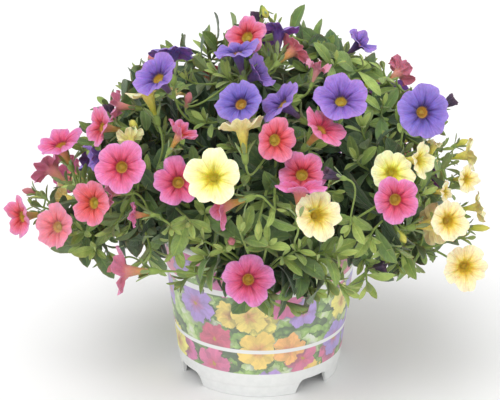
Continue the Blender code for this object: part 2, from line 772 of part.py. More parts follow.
def plan_shoots(rng, corollas, crowns, pots):
    """The shoots' curves, ring by ring from the top, each clear of those before it."""
    curves = []
    stems = []
    for count, elevation, first, reach in SHOOT_RINGS:
        for k in range(count):
            azimuth = first + 360.0 * k / count
            curves.append(find_shoot(azimuth, elevation, reach, rng, (corollas, stems, crowns, pots)))
            stems.append(stem_tree(curves[-1]))
    return curves, stems


def main():
    clear_scene()
    rng = random.Random(SEED)
    build_pot()
    build_soil()
    crowns = [build_crown(k, colour) for k, colour in enumerate(CROWN_COLOURS)]
    pots = [tree_of(lathe(pot_profile(), POT_SIDES)), tree_of(soil_body())]
    blooms = FRONT_BLOOMS + BACK_BLOOMS
    corollas = [corolla_tree(*bloom_seat(bloom), bloom.width) for bloom in blooms]
    curves, stems = plan_shoots(rng, corollas, crowns, pots)
    built = crowns + pots
    for k, bloom in enumerate(blooms):
        built.append(build_bloom(bloom, curves, stems, corollas[k + 1 :] + built))
    for k, curve in enumerate(curves):
        built.append(build_shoot(f"shoot_{k + 1:02d}", curve, stems[k + 1 :] + built, rng))


main()
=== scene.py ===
import math
import random
from typing import NamedTuple

import bmesh
import bpy
import numpy as np
from mathutils import Matrix, Vector, noise
from mathutils.bvhtree import BVHTree


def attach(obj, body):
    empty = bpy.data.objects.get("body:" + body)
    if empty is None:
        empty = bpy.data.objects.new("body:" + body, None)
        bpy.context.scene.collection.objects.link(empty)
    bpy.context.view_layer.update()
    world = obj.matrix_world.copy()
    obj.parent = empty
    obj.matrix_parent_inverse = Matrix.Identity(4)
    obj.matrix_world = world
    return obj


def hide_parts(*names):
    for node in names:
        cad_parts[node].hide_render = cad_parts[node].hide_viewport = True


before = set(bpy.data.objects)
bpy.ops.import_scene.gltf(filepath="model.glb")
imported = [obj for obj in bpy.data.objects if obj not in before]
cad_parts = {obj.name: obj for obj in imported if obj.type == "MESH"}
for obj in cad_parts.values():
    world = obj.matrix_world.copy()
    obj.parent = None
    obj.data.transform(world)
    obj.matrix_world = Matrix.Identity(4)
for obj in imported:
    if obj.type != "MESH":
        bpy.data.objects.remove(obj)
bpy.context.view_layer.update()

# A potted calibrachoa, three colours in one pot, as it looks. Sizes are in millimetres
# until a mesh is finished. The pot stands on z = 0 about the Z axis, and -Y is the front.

MM = 0.001
TAU = 2.0 * math.pi
SEED = 27
LOOKS_SEED = 405
UPWARD = Vector((0.0, 0.0, 1.0))
SIDEWAYS = Vector((1.0, 0.0, 0.0))
SHARP_ANGLE = math.radians(55.0)

# The pot, soil and young plants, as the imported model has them
POT_HEIGHT = 92.0
POT_BASE_RADIUS = 46.6
POT_TOP_RADIUS = 57.6
POT_LIP_RADIUS = 60.0
POT_LIP_DEPTH = 4.5
POT_WALL = 1.2
POT_SIDES = 44
FOOT_STEP = 6.8
FOOT_STEP_DEPTH = 0.5
FOOT_WALL = 1.6
FLOOR_TOP = 11.0
FLOOR_THICK = 1.3
PAD_RADIUS = 10.0
NOTCH_HEIGHT = 8.8
NOTCH_HALF_ANGLE = math.radians(13.5)
NOTCH_ANGLES = [math.radians(degrees) for degrees in (-49.0, 30.0, 131.0, 210.0)]
DRAIN_COUNT = 6
DRAIN_RADIUS = 4.0
DRAIN_CIRCLE = 27.0
SEAT_GAP = 0.3
SOIL_TOP = 80.0
SOIL_SIDES = 32
SOIL_LUMP = 1.6
SOIL_GRAIN = 0.11
POCKET_DEPTH = 12.0
CROWN_CIRCLE = 17.0
CROWN_HEIGHT = 34.0
CROWN_FOOT_RADIUS = 4.8
CROWN_TOP_RADIUS = 3.2
CROWN_LEAN = 5.0
CROWN_SIDES = 8
CROWN_TIP = 2.0
CROWN_COLOURS = ("violet", "pink", "yellow")

MOUND_CENTRE = Vector((0.0, 0.0, 95.0))
MOUND_AXES = Vector((140.0, 112.0, 125.0))
STEM_FOOT_RADIUS = 1.5
STEM_TIP_RADIUS = 0.75
STEM_SIDES = 6
STEM_NODES = 5
STEM_FIRST_NODE = 0.34
STEM_LAST_NODE = 0.97
STEM_TIP = 1.2
STEM_ROOM = 3.0
SHOOT_TRIALS = 300
SHOOT_SPREAD = 14.0
NODE_HEIGHT = 1.3
SHOOT_RINGS = ((3, 70.0, 20.0, 0.84), (4, 42.0, 5.0, 0.84), (4, 20.0, 50.0, 0.86), (6, -2.0, 25.0, 0.8))

BLOOM_SIDES = 10
BLOOM_DEPTH = 20.0
BLOOM_WIDTH = 30.0
PEDICEL_RADIUS = 0.6
PEDICEL_SIDES = 5
PEDICEL_ROOM = 0.7
CALYX = ((1.2, 1.8), (6.5, 2.0))
TUBE = ((8.5, 1.6), (14.0, 2.6), (17.8, 4.3))
LIMB_BACK = ((19.6, 9.5), (20.4, 15.0))
LIMB_FRONT = ((21.1, 14.8), (20.4, 9.4), (18.6, 3.8), (12.5, 1.5))
LOBE_COUNT = 5
LOBE_NOTCH = 0.14

# How the photograph looks at the object: a long lens, 21.3 degrees above level
VIEW_DOWN = math.radians(21.3)
VIEW_TARGET = Vector((-5.8, 0.0, 104.0))
VIEW_DISTANCE = 1200.0
VIEW_LENS = 2070.0
VIEW_MIDDLE = (250.0, 200.0)
VIEW_RIGHT = Vector((1.0, 0.0, 0.0))
VIEW_UP = Vector((0.0, math.sin(VIEW_DOWN), math.cos(VIEW_DOWN)))
VIEW_TOWARD = Vector((0.0, -math.cos(VIEW_DOWN), math.sin(VIEW_DOWN)))
EYE = VIEW_TARGET + VIEW_TOWARD * VIEW_DISTANCE
SENSOR_WIDTH = 36.0
PHOTO_WIDTH = 500.0


class Bloom(NamedTuple):
    """One flower or bud, placed by the picture pixel of its throat, or by azimuth and elevation.

    facing is (right, up, toward the viewer). reach 1 is on the mound's skin, less is deeper.
    spread is the angle from its axis that the limb opens to, fade is how worn it is, and coral
    picks the warmer pink. tip is the picture pixel that one of its lobes points to. look names
    its colour where its own name doesn't begin with that.
    """

    name: str
    pixel: tuple = None
    facing: tuple = (0.0, 0.0, 1.0)
    reach: float = 1.0
    width: float = BLOOM_WIDTH
    around: tuple = None
    spread: float = 76.0
    fade: float = 0.0
    coral: int = 0
    tip: tuple = None
    look: str = ""

    @property
    def colour(self):
        return self.look or self.name.split("_")[0]


# The flowers in front, by the picture pixel of the throat
FRONT_BLOOMS = (
    Bloom("violet_top_left", (172, 51), (-0.05, 0.97, -0.2), 1.0, 27.0, spread=94.0),
    Bloom("violet_upper_left", (157, 77), (-0.45, 0.55, 0.7), 1.1, 29.0, tip=(165, 52)),
    Bloom("violet_top_middle", (237, 51), (-0.22, 0.9, 0.36), 1.03, 27.0),
    Bloom("violet_summit", (279, 30), (0.08, 0.97, -0.2), 0.98, 24.0, spread=92.0),
    Bloom("violet_upper_right", (341, 100), (0.0, 0.55, 0.83), 1.03, 31.0, tip=(336, 72)),
    Bloom("violet_right", (423, 112), (0.25, 0.05, 0.97), 1.05, 32.0, tip=(428, 85)),
    Bloom("violet_middle", (240, 103), (-0.3, 0.4, 0.85), 1.0, 27.0, tip=(249, 84)),
    Bloom("violet_middle_right", (281, 103), (-0.73, 0.55, 0.4), 1.0, 28.0),
    Bloom("pink_top", (246, 36), (-0.35, 0.35, 0.8), 1.0, 25.0, tip=(244, 21)),
    Bloom("pink_left_top", (60, 143), (-0.3, 0.75, 0.5), 1.0, 28.0, tip=(76, 128)),
    Bloom("pink_left_under", (50, 168), (-0.65, 0.6, -0.3), 0.9, 29.0, spread=74.0, fade=0.25),
    Bloom("pink_left_front", (121, 167), (-0.15, 0.05, 1.0), 1.05, 30.0, tip=(106, 149)),
    Bloom("pink_left_low", (92, 203), (-0.6, 0.0, 0.8), 1.02, 27.0, coral=1, tip=(94, 182)),
    Bloom("pink_far_left_low", (56, 227), (-0.5, 0.0, 0.85), 1.0, 27.0, fade=0.25, coral=1, tip=(55, 204)),
    Bloom("pink_far_left", (20, 217), (-0.75, -0.1, 0.5), 1.0, 26.0),
    Bloom("pink_middle_left", (178, 182), (-0.05, 0.15, 1.0), 0.92, 28.0, tip=(173, 159)),
    Bloom("pink_middle", (276, 140), (0.4, 0.0, 0.9), 1.06, 25.0, coral=1, tip=(282, 118)),
    Bloom("pink_middle_right", (323, 128), (0.55, 0.6, 0.55), 1.0, 28.0, coral=1, tip=(328, 110)),
    Bloom("pink_heart", (302, 174), (0.0, 0.35, 0.9), 0.97, 27.0, tip=(292, 154)),
    Bloom("pink_right", (396, 200), (0.2, -0.1, 0.95), 1.12, 28.0, tip=(387, 180)),
    Bloom("pink_front", (248, 280), (-0.05, -0.1, 1.0), 0.82, 31.0, tip=(252, 255)),
    Bloom("pink_over_rim", (124, 271), (-0.95, 0.0, -0.1), 0.9, 29.0, fade=0.2),
    Bloom("yellow_upper_left", (147, 92), (-0.33, 0.94, 0.0), 0.96, 25.0),
    Bloom("yellow_middle", (242, 128), (-0.1, 0.96, -0.05), 1.0, 26.0, spread=68.0),
    Bloom("yellow_front", (213, 178), (-0.15, 0.15, 0.97), 1.1, 32.0, tip=(214, 153)),
    Bloom("yellow_heart", (317, 215), (0.4, 0.1, 0.85), 1.04, 30.0, tip=(324, 193)),
    Bloom("yellow_right", (392, 173), (0.15, 0.1, 0.97), 0.95, 26.0, tip=(385, 159)),
    Bloom("yellow_far_right", (449, 221), (0.4, 0.0, 0.9), 1.0, 25.0, tip=(441, 203)),
    Bloom("yellow_right_low", (465, 267), (0.15, -0.1, 0.97), 1.0, 27.0, tip=(478, 247)),
)
# The hidden side, by azimuth and elevation in degrees from the mound's centre
BACK_BLOOMS = (
    Bloom("violet_back", around=(90.0, 40.0), reach=0.93),
    Bloom("violet_back_right", around=(50.0, 24.0), reach=0.95),
    Bloom("violet_back_left", around=(144.0, 24.0), reach=0.8, width=28.0),
    Bloom("pink_back", around=(84.0, 16.0), reach=1.0),
    Bloom("pink_back_left", around=(150.0, 2.0), reach=0.95, width=28.0),
    Bloom("pink_back_right", around=(64.0, 40.0), reach=0.82, width=27.0),
    Bloom("yellow_back", around=(112.0, 4.0), reach=1.0, width=29.0),
    Bloom("yellow_back_right", around=(35.0, 0.0), reach=0.9, width=27.0),
    Bloom("yellow_back_high", around=(118.0, 36.0), reach=0.78, width=27.0),
)
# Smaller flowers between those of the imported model
EXTRA_BLOOMS = (
    Bloom("violet_top_right", (360, 43), (0.6, 0.55, 0.3), 0.86, 21.0, spread=60.0),
    Bloom("violet_curled", (258, 74), (0.6, 0.35, 0.3), 0.93, 23.0, spread=56.0, fade=0.1),
    Bloom("violet_left_low", (96, 156), (-0.8, -0.3, 0.2), 0.93, 20.0, spread=46.0),
    Bloom("pink_top_right", (294, 50), (0.7, 0.6, -0.3), 0.93, 22.0, coral=1),
    Bloom("pink_left_high", (100, 127), (-0.8, 0.1, 0.5), 1.02, 24.0, tip=(102, 110)),
    Bloom("pink_left_mauve", (117, 106), (-0.9, 0.1, -0.1), 0.95, 20.0, fade=0.35),
    Bloom("pink_left_edge", (110, 193), (-0.95, 0.0, 0.1), 0.97, 17.0, fade=0.3),
    Bloom("pink_half_open", (181, 133), (0.5, 0.75, 0.35), 1.0, 20.0, spread=58.0),
    Bloom("pink_turned", (221, 207), (-0.8, -0.25, 0.1), 1.0, 26.0, spread=66.0),
    Bloom("pink_heart_low", (300, 189), (0.03, 0.97, 0.18), 1.06, 30.0),
    Bloom("pink_narrow", (134, 215), (-0.97, 0.0, 0.0), 0.95, 16.0),
    Bloom("pink_far_top_right", (400, 72), (0.7, 0.5, -0.4), 0.86, 21.0, fade=0.3),
    Bloom("pink_faded", (318, 68), (0.35, 0.9, 0.0), 0.93, 15.0, spread=60.0, fade=0.6),
    Bloom("yellow_right_top", (420, 160), (0.8, 0.0, 0.45), 1.0, 23.0, tip=(418, 142)),
    Bloom("yellow_edge_top", (469, 155), (0.95, 0.15, 0.05), 0.93, 22.0, spread=74.0),
    Bloom("yellow_edge", (467, 179), (0.72, 0.0, 0.66), 0.97, 18.0),
    Bloom("yellow_between", (446, 192), (0.85, 0.0, 0.35), 0.95, 14.0),
    Bloom("yellow_behind", (433, 224), (0.7, 0.1, -0.5), 0.88, 27.0),
    Bloom("yellow_edge_low", (478, 207), (0.9, 0.1, 0.1), 0.93, 19.0),
    Bloom("yellow_left_behind", (130, 138), (-0.2, 0.8, -0.5), 0.95, 17.0, spread=62.0),
    Bloom("yellow_small", (435, 143), (0.3, 0.8, 0.1), 0.97, 9.0, spread=50.0),
    Bloom("pink_side_low", around=(53.0, 4.0), reach=0.98, width=27.0),
    Bloom("violet_back_low", around=(72.0, -4.0), reach=0.97, width=28.0),
    Bloom("pink_back_low", around=(93.0, -9.0), reach=0.98, width=26.0),
    Bloom("violet_back_far", around=(131.0, -6.0), reach=0.98, width=27.0),
    Bloom("yellow_side_left", around=(168.0, 1.0), reach=0.85, width=26.0),
    Bloom("violet_side_right", around=(13.0, 12.0), reach=0.75, width=25.0),
    Bloom("yellow_back_side", around=(31.0, 20.0), reach=0.8, width=26.0),
    Bloom("yellow_back_near", around=(67.0, 25.0), reach=0.97, width=28.0),
    Bloom("pink_back_high", around=(102.0, 23.0), reach=0.97, width=28.0),
    Bloom("yellow_back_middle", around=(127.0, 13.0), reach=0.96, width=28.0),
    Bloom("violet_side_left", around=(165.0, 18.0), reach=0.77, width=27.0),
    Bloom("pink_side_right", around=(14.0, 36.0), reach=0.8, width=26.0),
    Bloom("yellow_back_edge", around=(38.0, 44.0), reach=0.83, width=25.0),
    Bloom("pink_back_far", around=(143.0, 45.0), reach=0.76, width=26.0),
    Bloom("violet_back_side", around=(168.0, 40.0), reach=0.73, width=25.0),
    Bloom("violet_back_top", around=(92.0, 62.0), reach=0.82, width=26.0),
    Bloom("yellow_back_top", around=(60.0, 63.0), reach=0.75, width=25.0),
    Bloom("pink_back_top", around=(125.0, 59.0), reach=0.71, width=25.0),
)
# Buds and spent flowers, where width is the length
SMALL_ONES = (
    Bloom("wilt_summit", (256, 12), (-0.1, 0.98, 0.0), 0.98, 14.0),
    Bloom("wilt_over_rim", (107, 272), (-0.75, -0.6, 0.2), 0.86, 12.0, look="bud_pink"),
    Bloom("bud_summit", (267, 18), (0.3, -0.8, 0.4), 0.97, 8.0, look="bud_yellow"),
    Bloom("wilt_left", (108, 104), (-0.2, 0.9, 0.1), 0.93, 11.0),
    Bloom("wilt_right", (455, 99), (0.8, 0.45, 0.0), 0.9, 14.0),
    Bloom("wilt_heart", (325, 173), (-0.9, 0.25, 0.3), 1.05, 13.0),
    Bloom("wilt_right_low", (386, 266), (0.9, 0.1, 0.3), 0.82, 11.0),
    Bloom("bud_right", (490, 228), (0.97, 0.0, 0.1), 0.97, 17.0, look="bud_yellow"),
    Bloom("bud_right_low", (406, 243), (0.5, -0.75, 0.4), 0.95, 12.0, look="bud_yellow"),
    Bloom("bud_left", (131, 120), (-0.3, 0.6, 0.6), 1.0, 10.0, look="bud_yellow"),
    Bloom("bud_coral", (190, 92), (0.2, 0.7, 0.5), 0.98, 11.0, look="bud_pink"),
    Bloom("bud_front", (232, 243), (0.1, -0.3, 0.95), 0.92, 8.0, look="bud_pink"),
    Bloom("bud_far_left", (22, 190), (-0.95, 0.2, 0.1), 0.98, 12.0, look="bud_pink"),
    Bloom("bud_back", around=(76.0, 6.0), reach=0.97, width=13.0, look="bud_yellow"),
    Bloom("bud_back_left", around=(130.0, 40.0), reach=0.96, width=12.0, look="bud_pink"),
    Bloom("bud_back_high", around=(90.0, 58.0), reach=0.98, width=11.0, look="bud_pink"),
    Bloom("bud_side", around=(15.0, 18.0), reach=0.95, width=12.0, look="bud_yellow"),
)


def from_view(right, up, toward):
    """A direction given as the viewer sees it, turned into the object's axes."""
    return (VIEW_RIGHT * right + VIEW_UP * up + VIEW_TOWARD * toward).normalized()


def by_axes(arrow, power=1):
    """A vector in shares of the mound's axes, or of their squares."""
    return Vector([arrow[i] / MOUND_AXES[i] ** power for i in range(3)])


def on_mound(pixel, reach):
    """The point where the line of sight through a pixel meets the mound's scaled skin, or passes nearest."""
    across = (pixel[0] - VIEW_MIDDLE[0]) / VIEW_LENS
    upward = (VIEW_MIDDLE[1] - pixel[1]) / VIEW_LENS
    sight = VIEW_RIGHT * across + VIEW_UP * upward - VIEW_TOWARD
    start = by_axes(EYE - MOUND_CENTRE)
    step = by_axes(sight)
    middle = -start.dot(step) / step.dot(step)
    nearest = (start + step * middle).length
    back = math.sqrt(max(0.0, reach * reach - nearest * nearest)) / step.length
    return EYE + sight * (middle - back)


def around_mound(azimuth, elevation, reach):
    """A point of the mound's scaled skin by azimuth and elevation in degrees."""
    turn = math.radians(azimuth)
    rise = math.radians(elevation)
    way = Vector((math.cos(turn) * math.cos(rise), math.sin(turn) * math.cos(rise), math.sin(rise)))
    return MOUND_CENTRE + Vector([way[i] * MOUND_AXES[i] * reach for i in range(3)])


def skin_normal(point):
    return by_axes(point - MOUND_CENTRE, 2).normalized()


def bloom_seat(bloom):
    """Where a bloom's throat is, and which way the bloom faces."""
    if bloom.around:
        place = around_mound(*bloom.around, bloom.reach)
        return place, skin_normal(place)
    return on_mound(bloom.pixel, bloom.reach), from_view(*bloom.facing)


def bezier(points, t):
    """A point and its direction on a cubic curve."""
    a, b, c, d = points
    s = 1.0 - t
    place = a * s**3 + b * (3 * s * s * t) + c * (3 * s * t * t) + d * t**3
    along = (b - a) * (s * s) + (c - b) * (2 * s * t) + (d - c) * (t * t)
    return place, along.normalized()


def along_curve(curve, steps, first=0):
    """Evenly spaced points of a curve, from the given step on."""
    return [bezier(curve, k / steps)[0] for k in range(first, steps + 1)]


def frames_along(stations):
    """For (place, direction) stations, a side vector at each that doesn't twist about the path."""
    side = stations[0][1].orthogonal().normalized()
    sides = []
    for _, along in stations:
        side = (side - along * side.dot(along)).normalized()
        sides.append(side)
    return sides


def side_of(arrow, along):
    """The direction of what is left of a vector across a path."""
    return (arrow - along * arrow.dot(along)).normalized()


def spoke(turn):
    """A level direction by its angle."""
    return Vector((math.cos(turn), math.sin(turn), 0.0))


def add_ring(bm, place, along, side, radii):
    """A closed ring of vertices about a path."""
    other = along.cross(side)
    ring = []
    for k, radius in enumerate(radii):
        turn = TAU * k / len(radii)
        ring.append(bm.verts.new(place + (side * math.cos(turn) + other * math.sin(turn)) * radius))
    return ring


def bridge(bm, rings):
    """Side faces between each ring and the next."""
    for ring, after in zip(rings, rings[1:]):
        count = len(ring)
        for k in range(count):
            bm.faces.new((ring[k], ring[(k + 1) % count], after[(k + 1) % count], after[k]))


def close_ring(bm, ring, place):
    """A fan from a ring to one point."""
    tip = bm.verts.new(place)
    for k, vert in enumerate(ring):
        bm.faces.new((vert, ring[(k + 1) % len(ring)], tip))


def tree_of(bm):
    """What is in the way, from a mesh that isn't needed any more."""
    tree = BVHTree.FromBMesh(bm)
    bm.free()
    return tree


def add_tube(bm, stations, radii, sides):
    """Rings about (place, direction) stations, with faces between them."""
    rings = []
    for (place, along), side, radius in zip(stations, frames_along(stations), radii):
        rings.append(add_ring(bm, place, along, side, [radius] * sides))
    bridge(bm, rings)
    return rings


def tube_tree(stations, radii, sides, tip):
    """A closed tube as an obstacle. It ends in a point, which is tip further on."""
    bm = bmesh.new()
    rings = add_tube(bm, stations, radii, sides)
    close_ring(bm, rings[0], stations[0][0])
    close_ring(bm, rings[-1], stations[-1][0] + stations[-1][1] * tip)
    return tree_of(bm)


def too_near(trees, points, gap):
    """True where any point is within the gap of any obstacle."""
    return any(tree.find_nearest(point, gap)[0] is not None for tree in trees for point in points)


def lathe(profile, sides):
    """A closed body of revolution about Z from (radius, height) points that start and end on the axis."""
    bm = bmesh.new()
    rings = []
    for radius, height in profile[1:-1]:
        rings.append(add_ring(bm, UPWARD * height, UPWARD, SIDEWAYS, [radius] * sides))
    bridge(bm, rings)
    close_ring(bm, rings[0], UPWARD * profile[0][1])
    close_ring(bm, rings[-1], UPWARD * profile[-1][1])
    return bm


def wall_radius(height):
    """The pot's outer radius at a height."""
    slope = (POT_TOP_RADIUS - POT_BASE_RADIUS) / (POT_HEIGHT - POT_LIP_DEPTH)
    return POT_BASE_RADIUS + slope * height


def pot_profile():
    """The pot's section from the centre of its pad, out and up the outside, and back down the inside."""
    lip_foot = POT_HEIGHT - POT_LIP_DEPTH
    ceiling = FLOOR_TOP - FLOOR_THICK
    inner_foot = wall_radius(FLOOR_TOP) - POT_WALL
    foot_inner = POT_BASE_RADIUS - FOOT_WALL
    return [
        (0.0, 0.0),
        (PAD_RADIUS - 1.0, 0.0),
        (PAD_RADIUS, ceiling - 1.0),
        (PAD_RADIUS + 1.5, ceiling),
        (foot_inner - 1.0, ceiling),
        (foot_inner, ceiling - 1.2),
        (foot_inner, 0.0),
        (POT_BASE_RADIUS - 0.4, 0.0),
        (POT_BASE_RADIUS, 0.5),
        (wall_radius(FOOT_STEP), FOOT_STEP),
        (wall_radius(FOOT_STEP) + FOOT_STEP_DEPTH, FOOT_STEP + 0.5),
        (wall_radius(lip_foot), lip_foot),
        (POT_LIP_RADIUS - 0.6, lip_foot + 0.5),
        (POT_LIP_RADIUS, lip_foot + 1.2),
        (POT_LIP_RADIUS, POT_HEIGHT - 0.8),
        (POT_LIP_RADIUS - 0.8, POT_HEIGHT),
        (POT_TOP_RADIUS - 0.2, POT_HEIGHT),
        (POT_TOP_RADIUS - POT_WALL, POT_HEIGHT - 1.4),
        (wall_radius(lip_foot) - POT_WALL, lip_foot - 1.0),
        (inner_foot, FLOOR_TOP + 1.5),
        (inner_foot - 1.5, FLOOR_TOP),
        (0.0, FLOOR_TOP),
    ]


def soil_profile():
    """The soil's section, with a few rings on top that its lumps move."""
    inner = wall_radius(FLOOR_TOP) - POT_WALL - SEAT_GAP - 0.4
    top = wall_radius(SOIL_TOP) - POT_WALL - SEAT_GAP - 0.4
    low = FLOOR_TOP + SEAT_GAP
    side = [(0.0, low), (inner - 2.0, low), (inner, FLOOR_TOP + 2.5), (top - 0.3, SOIL_TOP - 2.0)]
    rings = [(top * share, SOIL_TOP) for share in (0.8, 0.58, 0.36, 0.15, 0.0)]
    return side + [(top - 2.0, SOIL_TOP)] + rings


def soil_body():
    """Rooted potting soil, a little lumpy on top."""
    bm = lathe(soil_profile(), SOIL_SIDES)
    for vert in bm.verts:
        if vert.co.z > SOIL_TOP - 0.5:
            vert.co.z += SOIL_LUMP * noise.noise(vert.co * SOIL_GRAIN)
    return bm


def crown_foot(index):
    """Where a young plant stands in the soil."""
    turn = math.radians(90.0 + 360.0 * index / len(CROWN_COLOURS))
    return Vector((CROWN_CIRCLE * math.cos(turn), CROWN_CIRCLE * math.sin(turn), SOIL_TOP - POCKET_DEPTH))


def crown_stations(index, shares):
    """The short woody stem of one young plant, leaning a little outward."""
    foot = crown_foot(index) + UPWARD * SEAT_GAP
    lean = Vector((foot.x, foot.y, 0.0)).normalized()
    top = foot + UPWARD * CROWN_HEIGHT + lean * CROWN_LEAN
    curve = (foot, foot + UPWARD * 14.0, top - UPWARD * 9.0, top)
    return [bezier(curve, share) for share in shares]


def crown_radius(share):
    return CROWN_FOOT_RADIUS + (CROWN_TOP_RADIUS - CROWN_FOOT_RADIUS) * share


def crown_tree(index):
    stations = crown_stations(index, (0.0, 0.3, 0.55, 0.8, 1.0))
    radii = [crown_radius(k / (len(stations) - 1)) for k in range(len(stations))]
    return tube_tree(stations, radii, CROWN_SIDES, CROWN_TIP)


def shoot_curve(azimuth, elevation, reach, rng, sway):
    """A shoot from its crown's side up, over the rim and out to its tip."""
    tip = around_mound(azimuth, elevation, reach)
    turn = math.radians(azimuth)
    index = max(range(len(CROWN_COLOURS)), key=lambda k: crown_foot(k).dot(spoke(turn)))
    share = rng.uniform(0.6, 0.95)
    place, along = crown_stations(index, (share,))[0]
    side = side_of(spoke(turn + math.radians(rng.uniform(-80.0, 80.0))), along)
    way = (side * 0.8 + along * 0.6).normalized()
    start = place + side * (crown_radius(share) + SEAT_GAP + STEM_FOOT_RADIUS * 0.62)
    lift = 22.0 + 16.0 * math.sin(math.radians(max(0.0, elevation)))
    shift = Vector([rng.uniform(-sway, sway) for _ in range(3)])
    back = skin_normal(tip) * 24.0 - UPWARD * (18.0 if elevation < 30.0 else 0.0)
    return (start, start + way * lift, tip - back + shift, tip)


def stem_shares(curve):
    """Where along a shoot its rings are: the foot, one between, and a close pair at each leaf node."""
    points = along_curve(curve, 12)
    length = sum((point - after).length for point, after in zip(points, points[1:]))
    shares = [0.0, STEM_FIRST_NODE * 0.5]
    for node in range(STEM_NODES):
        share = STEM_FIRST_NODE + (STEM_LAST_NODE - STEM_FIRST_NODE) * node / (STEM_NODES - 1)
        shares += [share, share + NODE_HEIGHT / length]
    return shares


def stem_radius(share):
    return STEM_FOOT_RADIUS + (STEM_TIP_RADIUS - STEM_FOOT_RADIUS) * share


def on_stem(curve, share):
    """The middle of the stem in straight lengths between its rings."""
    shares = stem_shares(curve)
    for low, high in zip(shares, shares[1:]):
        if share <= high:
            part = (share - low) / (high - low)
            start, end = bezier(curve, low)[0], bezier(curve, high)[0]
            return start.lerp(end, part), (end - start).normalized()
    return bezier(curve, share)


def stem_points(curve, spacing=2.5):
    """Points close together down the middle of the stem."""
    corners = [bezier(curve, share)[0] for share in stem_shares(curve)]
    points = [corners[0]]
    for start, end in zip(corners, corners[1:]):
        steps = max(1, math.ceil((end - start).length / spacing))
        points += [start.lerp(end, k / steps) for k in range(1, steps + 1)]
    return points


def stem_tree(curve):
    """A bare stem, used to see where a shoot can pass."""
    shares = stem_shares(curve)
    stations = [bezier(curve, share) for share in shares]
    return tube_tree(stations, [stem_radius(share) for share in shares], STEM_SIDES, STEM_TIP)


def lobed(radius, sides):
    """Radii round a limb with five lobes and shallow notches between them."""
    turns = [TAU * k / sides for k in range(sides)]
    return [radius * (1.0 - LOBE_NOTCH * (0.5 - 0.5 * math.cos(LOBE_COUNT * turn))) for turn in turns]


def corolla_rings(bm, seat, facing, width):
    """Calyx, tube and limb with an open throat, as plain rings."""
    base = seat - facing * BLOOM_DEPTH
    side = facing.orthogonal().normalized()
    scale = width / BLOOM_WIDTH
    rings = []
    for along, radius in CALYX + TUBE:
        rings.append(add_ring(bm, base + facing * along, facing, side, [radius] * BLOOM_SIDES))
    for along, radius in LIMB_BACK + LIMB_FRONT:
        radii = lobed(radius * scale, BLOOM_SIDES) if radius > 5.0 else [radius] * BLOOM_SIDES
        rings.append(add_ring(bm, base + facing * along, facing, side, radii))
    return rings


def corolla_tree(seat, facing, width, curve=None):
    """A flower as an obstacle, with its stalk if the stalk's curve is known."""
    bm = bmesh.new()
    rings = corolla_rings(bm, seat, facing, width)
    bridge(bm, rings)
    close_ring(bm, rings[-1], seat - facing * BLOOM_DEPTH + facing * (LIMB_FRONT[-1][0] - 0.8))
    bm.faces.new(rings[0][::-1])
    if curve:
        stations = [bezier(curve, share) for share in (1.0, 0.72, 0.4, 0.12, 0.0)]
        add_tube(bm, stations, [PEDICEL_RADIUS] * len(stations), PEDICEL_SIDES)
    return tree_of(bm)


def pedicel_curve(start, out, seat, facing):
    base = seat - facing * BLOOM_DEPTH
    pull = (base - start).length * 0.45
    return (start, start + out * pull, base - facing * pull, base)


def pedicel_choices(seat, facing, curves):
    """Places on the shoots where a flower stalk could start, the most natural first."""
    base = seat - facing * BLOOM_DEPTH
    choices = []
    for number, curve in enumerate(curves):
        for step in range(6, 20):
            share = step / 20.0
            place, along = on_stem(curve, share)
            gap = base - place
            turn_back = max(0.0, 0.3 - gap.normalized().dot(facing))
            cost = gap.length * (1.0 + turn_back) + (200.0 if gap.length < 7.0 else 0.0)
            out = side_of(gap, along)
            choices.append((cost, number, step, place + out * (stem_radius(share) + SEAT_GAP), out))
    choices.sort(key=lambda choice: choice[:3])
    return choices


def find_stalk(seat, facing, curves, stems, others):
    """A curve from a shoot to the flower that passes clear of everything else."""
    for _, number, _, start, out in pedicel_choices(seat, facing, curves):
        curve = pedicel_curve(start, out, seat, facing)
        points = along_curve(curve, 14)
        apart = [tree for k, tree in enumerate(stems) if k != number] + others
        if too_near(apart, points, PEDICEL_RADIUS + PEDICEL_ROOM):
            continue
        if not too_near([stems[number]], points[3:], PEDICEL_RADIUS + PEDICEL_ROOM * 0.7):
            break
    return curve


def clear_way(curve, corollas, stems, crowns, pots):
    """True where a shoot keeps off the flowers, the pot, the soil and the other shoots."""
    points = stem_points(curve)
    if too_near(corollas + pots, points, STEM_ROOM):
        return False
    if too_near(stems, points, STEM_FOOT_RADIUS + PEDICEL_ROOM * 1.7):
        return False
    return not too_near(crowns, points[3:], STEM_FOOT_RADIUS + 0.5)


def find_shoot(azimuth, elevation, reach, rng, obstacles):
    """A curve for one shoot. The search spreads a little wider with each trial."""
    for trial in range(SHOOT_TRIALS):
        spread = SHOOT_SPREAD * trial / SHOOT_TRIALS
        turned = azimuth + rng.uniform(-spread, spread)
        raised = elevation + rng.uniform(-spread, spread)
        curve = shoot_curve(turned, raised, reach, rng, 4.0 + 2.0 * spread)
        if clear_way(curve, *obstacles):
            break
    return curve


def plan_shoots(rng, corollas, crowns, pots):
    """The shoots' curves, ring by ring from the top, each clear of those before it."""
    curves = []
    stems = []
    for count, elevation, first, reach in SHOOT_RINGS:
        for k in range(count):
            azimuth = first + 360.0 * k / count
            curves.append(find_shoot(azimuth, elevation, reach, rng, (corollas, stems, crowns, pots)))
            stems.append(stem_tree(curves[-1]))
    return curves, stems


